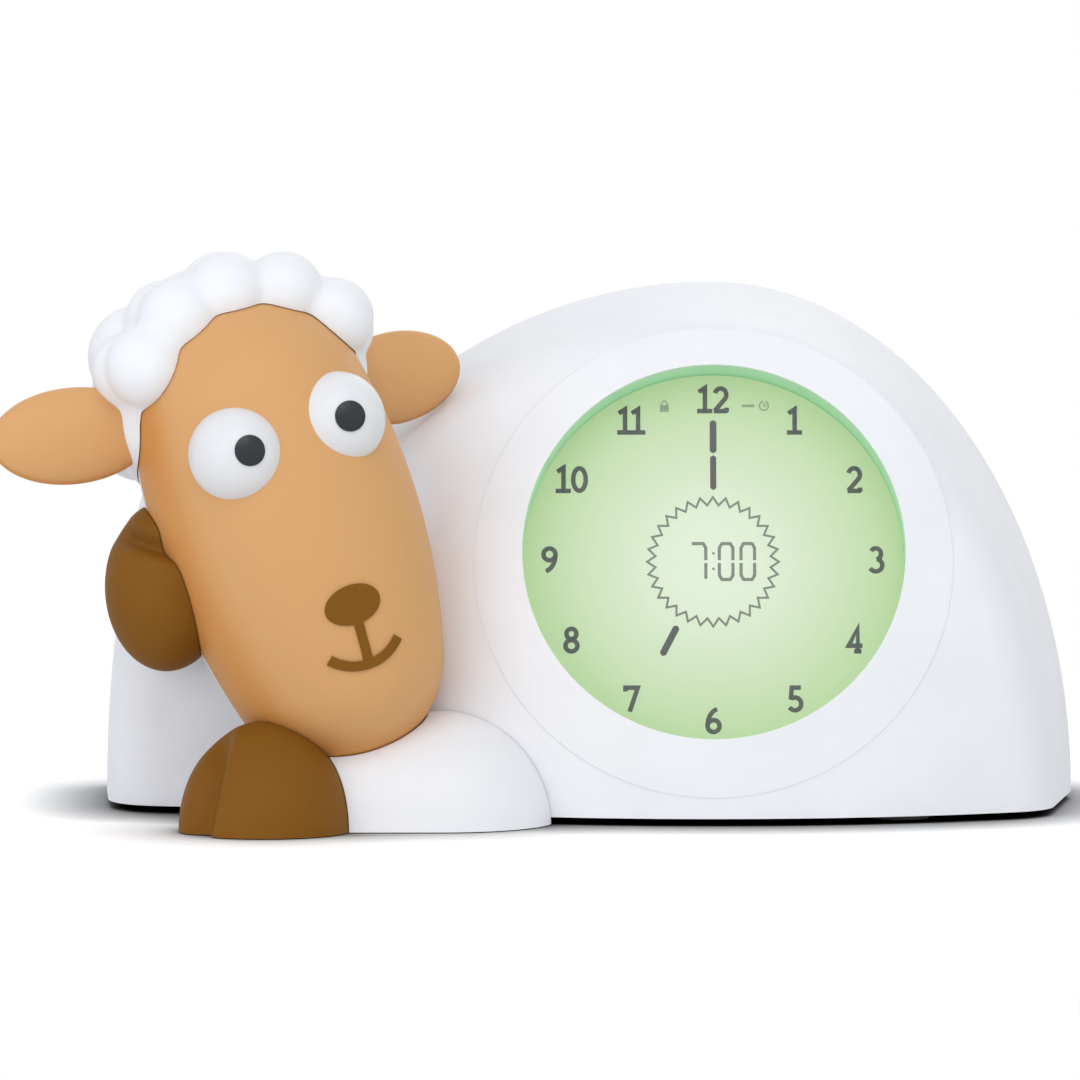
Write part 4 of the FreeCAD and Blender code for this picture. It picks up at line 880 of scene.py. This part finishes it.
def screws(node, name, seats, height, length, body=BODY):
    """Screws at their seats, each with a head of one height over a shank of one length."""
    build = bmesh.new()
    cross = bmesh.new()
    shank = [(0, -length), (SCREW_SHANK * POINT_SHARE, -length), (SCREW_SHANK, -length + POINT_HEIGHT),
             (SCREW_SHANK, 0), (SCREW_HEAD, 0)]
    head = [(SCREW_HEAD * out, height * up) for out, up in HEAD_CURVE] + [(0, height)]
    along = (-CROSS_REACH, CROSS_REACH)
    across = (-CROSS_SLOT, CROSS_SLOT)
    levels = (height * CROSS_FLOOR, height + 1)
    for seat in seats:
        turned_profile(build, shank + head, seat)
        block(cross, along, across, levels, seat)
        block(cross, across, along, levels, seat)
    mesh = carve(linked(name, build), [linked("cross_tool", cross)], use_self=True)
    piece = finish_piece(name, mesh, LOOKS["steel"], body, angle=30)
    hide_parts(node)


DOOR_SEATS = [REAR @ turned(-14, 57, -0.1)]
BASE_SEATS = [turned(x, 8, 1.5, pitch=180) for x in (-76, 96)]
SHELL_SEATS = [turned(x, 34, z, roll=-90) for x, z in ((-76, 16), (96, 16), (12, 103), (59, 103))]

screws("door_screw", "door_screw_head", DOOR_SEATS, height=1.44, length=5.6, body="battery_door")
screws("base_screws", "base_screw_heads", BASE_SEATS, height=1.1, length=7.7)
screws("shell_screws", "shell_screw_heads", SHELL_SEATS, height=1.8, length=18)


# Rear wall: small printed words below the controls, as text, place and height

KEY_WORDS = [(34, ("HOUR", "MIN", "ALARM")), (50, ("VOL", "SNOOZE", "NAP"))]
KEY_WORD_ROWS = (24.9, 40.4, 55.9)
WORD_HEIGHT = 1.9
WORDS = [(text, x, y, WORD_HEIGHT) for x, column in KEY_WORDS for text, y in zip(column, KEY_WORD_ROWS)]
WORDS += [("LIGHT", -18, 64.8, 2.2), ("DC", 34, 6.6, WORD_HEIGHT)]
WORDS += [("ON", 54.6, 8.4, 1.8), ("OFF", 45.2, 8.4, 1.8)]
FONT_SIZE = 1.4
WORD_DEPTH = 0.03
WORD_OFF_WALL = 0.02


def rear_words():
    """Generic words, centred under each control; seen from behind, the rear frame's x runs to the right."""
    build = bmesh.new()
    for text, x, y, height in WORDS:
        data = bpy.data.curves.new("word", "FONT")
        data.body = text
        data.align_x = "CENTER"
        data.size = height * FONT_SIZE
        data.extrude = WORD_DEPTH
        thing = bpy.data.objects.new("word", data)
        bpy.context.scene.collection.objects.link(thing)
        bpy.context.view_layer.update()
        mesh = bpy.data.meshes.new_from_object(thing.evaluated_get(bpy.context.evaluated_depsgraph_get()))
        mesh.transform(Matrix.Scale(MM, 4) @ REAR @ turned(x, y, WORD_OFF_WALL))
        build.from_mesh(mesh)
        bpy.data.objects.remove(thing)
        bpy.data.curves.remove(data)
        bpy.data.meshes.remove(mesh)
    mesh = bpy.data.meshes.new("rear_words")
    build.to_mesh(mesh)
    build.free()
    finish_piece("rear_words", mesh, PRINT, smooth=False)


rear_words()


# Stage: pale floor and background, soft light

# The seen floor: where it turns to white, in metres from the origin, and its painted contact shadow from
# ambient occlusion
FAR_FROM = 0.14
FAR_TO = 0.42
PAINTED_SHADE_REACH = 0.022
LIFT = 0.42
LIFT_POWER = 3.0
PAINTED_SHADE_SHARE = 0.84
PAINTED_SHADE_POWER = 1.6


def floor_material():
    """Pale floor that reads as white away from the object, with the lamps' shadows and a painted contact
    shadow from ambient occlusion near it.
    """
    made = Nodes("floor")
    tint = made.ramp(made.noise(3), [(0.3, (0.88, 0.88, 0.885, 1)), (0.7, (0.9, 0.9, 0.905, 1))])
    made.link(tint, made.shader.inputs["Base Color"])
    made.set(Roughness=0.9, Specular_IOR_Level=0.0)
    far = made.add("ShaderNodeMapRange", interpolation_type="SMOOTHSTEP")
    made.link(made.vector("LENGTH", made.position()), far.inputs["Value"])
    far.inputs["From Min"].default_value = FAR_FROM
    far.inputs["From Max"].default_value = FAR_TO
    # Painted contact shadow: ambient occlusion darkens the seen floor near the object and holds back its lift
    # to white.
    painted_contact_shade = made.add("ShaderNodeAmbientOcclusion", Distance=PAINTED_SHADE_REACH, samples=12)
    clear = painted_contact_shade.outputs["AO"]
    lift = made.math("MULTIPLY", made.math("POWER", clear, LIFT_POWER), LIFT)
    # The seen floor's colour is multiplied by the ambient occlusion: painted shade near the object.
    painted_shade_tint = made.add("ShaderNodeMix", data_type="RGBA", blend_type="MULTIPLY")
    painted_shade_tint.inputs["Factor"].default_value = 1.0
    made.link(made.math("MULTIPLY", made.math("POWER", clear, PAINTED_SHADE_POWER), PAINTED_SHADE_SHARE), painted_shade_tint.inputs["B"])
    made.link(tint, painted_shade_tint.inputs["A"])
    seen_floor = made.add("ShaderNodeBsdfDiffuse")
    made.link(painted_shade_tint.outputs["Result"], seen_floor.inputs["Color"])
    paths = made.add("ShaderNodeLightPath")
    seen = made.math("MAXIMUM", paths.outputs["Is Camera Ray"], paths.outputs["Is Transmission Ray"])
    white = made.add("ShaderNodeEmission", Color=(1, 1, 1, 1), Strength=1.0)
    glow = made.add("ShaderNodeEmission", Color=(1, 1, 1, 1))
    made.link(lift, glow.inputs["Strength"])
    near = made.add("ShaderNodeAddShader")
    made.link(seen_floor.outputs[0], near.inputs[0])
    made.link(glow.outputs[0], near.inputs[1])
    blend = made.add("ShaderNodeMixShader")
    made.link(far.outputs["Result"], blend.inputs[0])
    made.link(near.outputs[0], blend.inputs[1])
    made.link(white.outputs[0], blend.inputs[2])
    last = made.add("ShaderNodeMixShader")
    made.link(seen, last.inputs[0])
    made.link(made.shader.outputs[0], last.inputs[1])
    made.link(blend.outputs[0], last.inputs[2])
    made.link(last.outputs[0], made.tree.nodes["Material Output"].inputs["Surface"])
    return made.material


FLOOR_HALF = 6
FLOOR_DROP = 0.0002


def stage():
    build = bmesh.new()
    bmesh.ops.create_grid(build, x_segments=8, y_segments=8, size=FLOOR_HALF)
    mesh = bpy.data.meshes.new("floor")
    build.to_mesh(mesh)
    build.free()
    floor = bpy.data.objects.new("floor", mesh)
    bpy.context.scene.collection.objects.link(floor)
    mesh.materials.append(floor_material())
    floor.location = (0, 0, -FLOOR_DROP)


ROOM_COLOUR = (0.96, 0.98, 1.0, 1)
ROOM_STRENGTH = 0.7


def world():
    """Soft room light on the object; white for the camera, in gloss and through the window."""
    made = bpy.data.worlds.new("soft_room")
    made.use_nodes = True
    bpy.context.scene.world = made
    tree = made.node_tree
    back = tree.nodes["Background"]
    back.inputs["Color"].default_value = ROOM_COLOUR
    back.inputs["Strength"].default_value = ROOM_STRENGTH
    paths = tree.nodes.new("ShaderNodeLightPath")
    white = tree.nodes.new("ShaderNodeBackground")
    white.inputs["Color"].default_value = (1, 1, 1, 1)
    white.inputs["Strength"].default_value = 1.0
    seen = tree.nodes.new("ShaderNodeMath")
    seen.operation = "MAXIMUM"
    tree.links.new(paths.outputs["Is Camera Ray"], seen.inputs[0])
    clear = tree.nodes.new("ShaderNodeMath")
    clear.operation = "MAXIMUM"
    tree.links.new(paths.outputs["Is Glossy Ray"], clear.inputs[0])
    tree.links.new(paths.outputs["Is Transmission Ray"], clear.inputs[1])
    tree.links.new(clear.outputs[0], seen.inputs[1])
    mix = tree.nodes.new("ShaderNodeMixShader")
    tree.links.new(seen.outputs[0], mix.inputs[0])
    tree.links.new(back.outputs[0], mix.inputs[1])
    tree.links.new(white.outputs[0], mix.inputs[2])
    tree.links.new(mix.outputs[0], tree.nodes["World Output"].inputs["Surface"])


# Lamps: name, place in metres, power, size and colour
LAMPS = [
    ("key", (0.15, -1.1, 1.15), 5.5, 0.9, (1, 1, 1)),
    ("fill", (-0.9, -1.3, 0.4), 5.0, 1.0, (0.97, 0.98, 1.0)),
    ("rim", (0.4, 1.2, 1.0), 2.2, 0.9, (1, 1, 1)),
]


def lamp(name, place, power, size, colour):
    data = bpy.data.lights.new(name, "AREA")
    data.energy = power
    data.size = size
    data.color = colour
    light = bpy.data.objects.new(name, data)
    bpy.context.scene.collection.objects.link(light)
    light.location = place
    light.rotation_euler = (AIM - Vector(place)).to_track_quat("-Z", "Y").to_euler()


stage()
world()
for values in LAMPS:
    lamp(*values)

bpy.context.scene.view_settings.view_transform = "Standard"
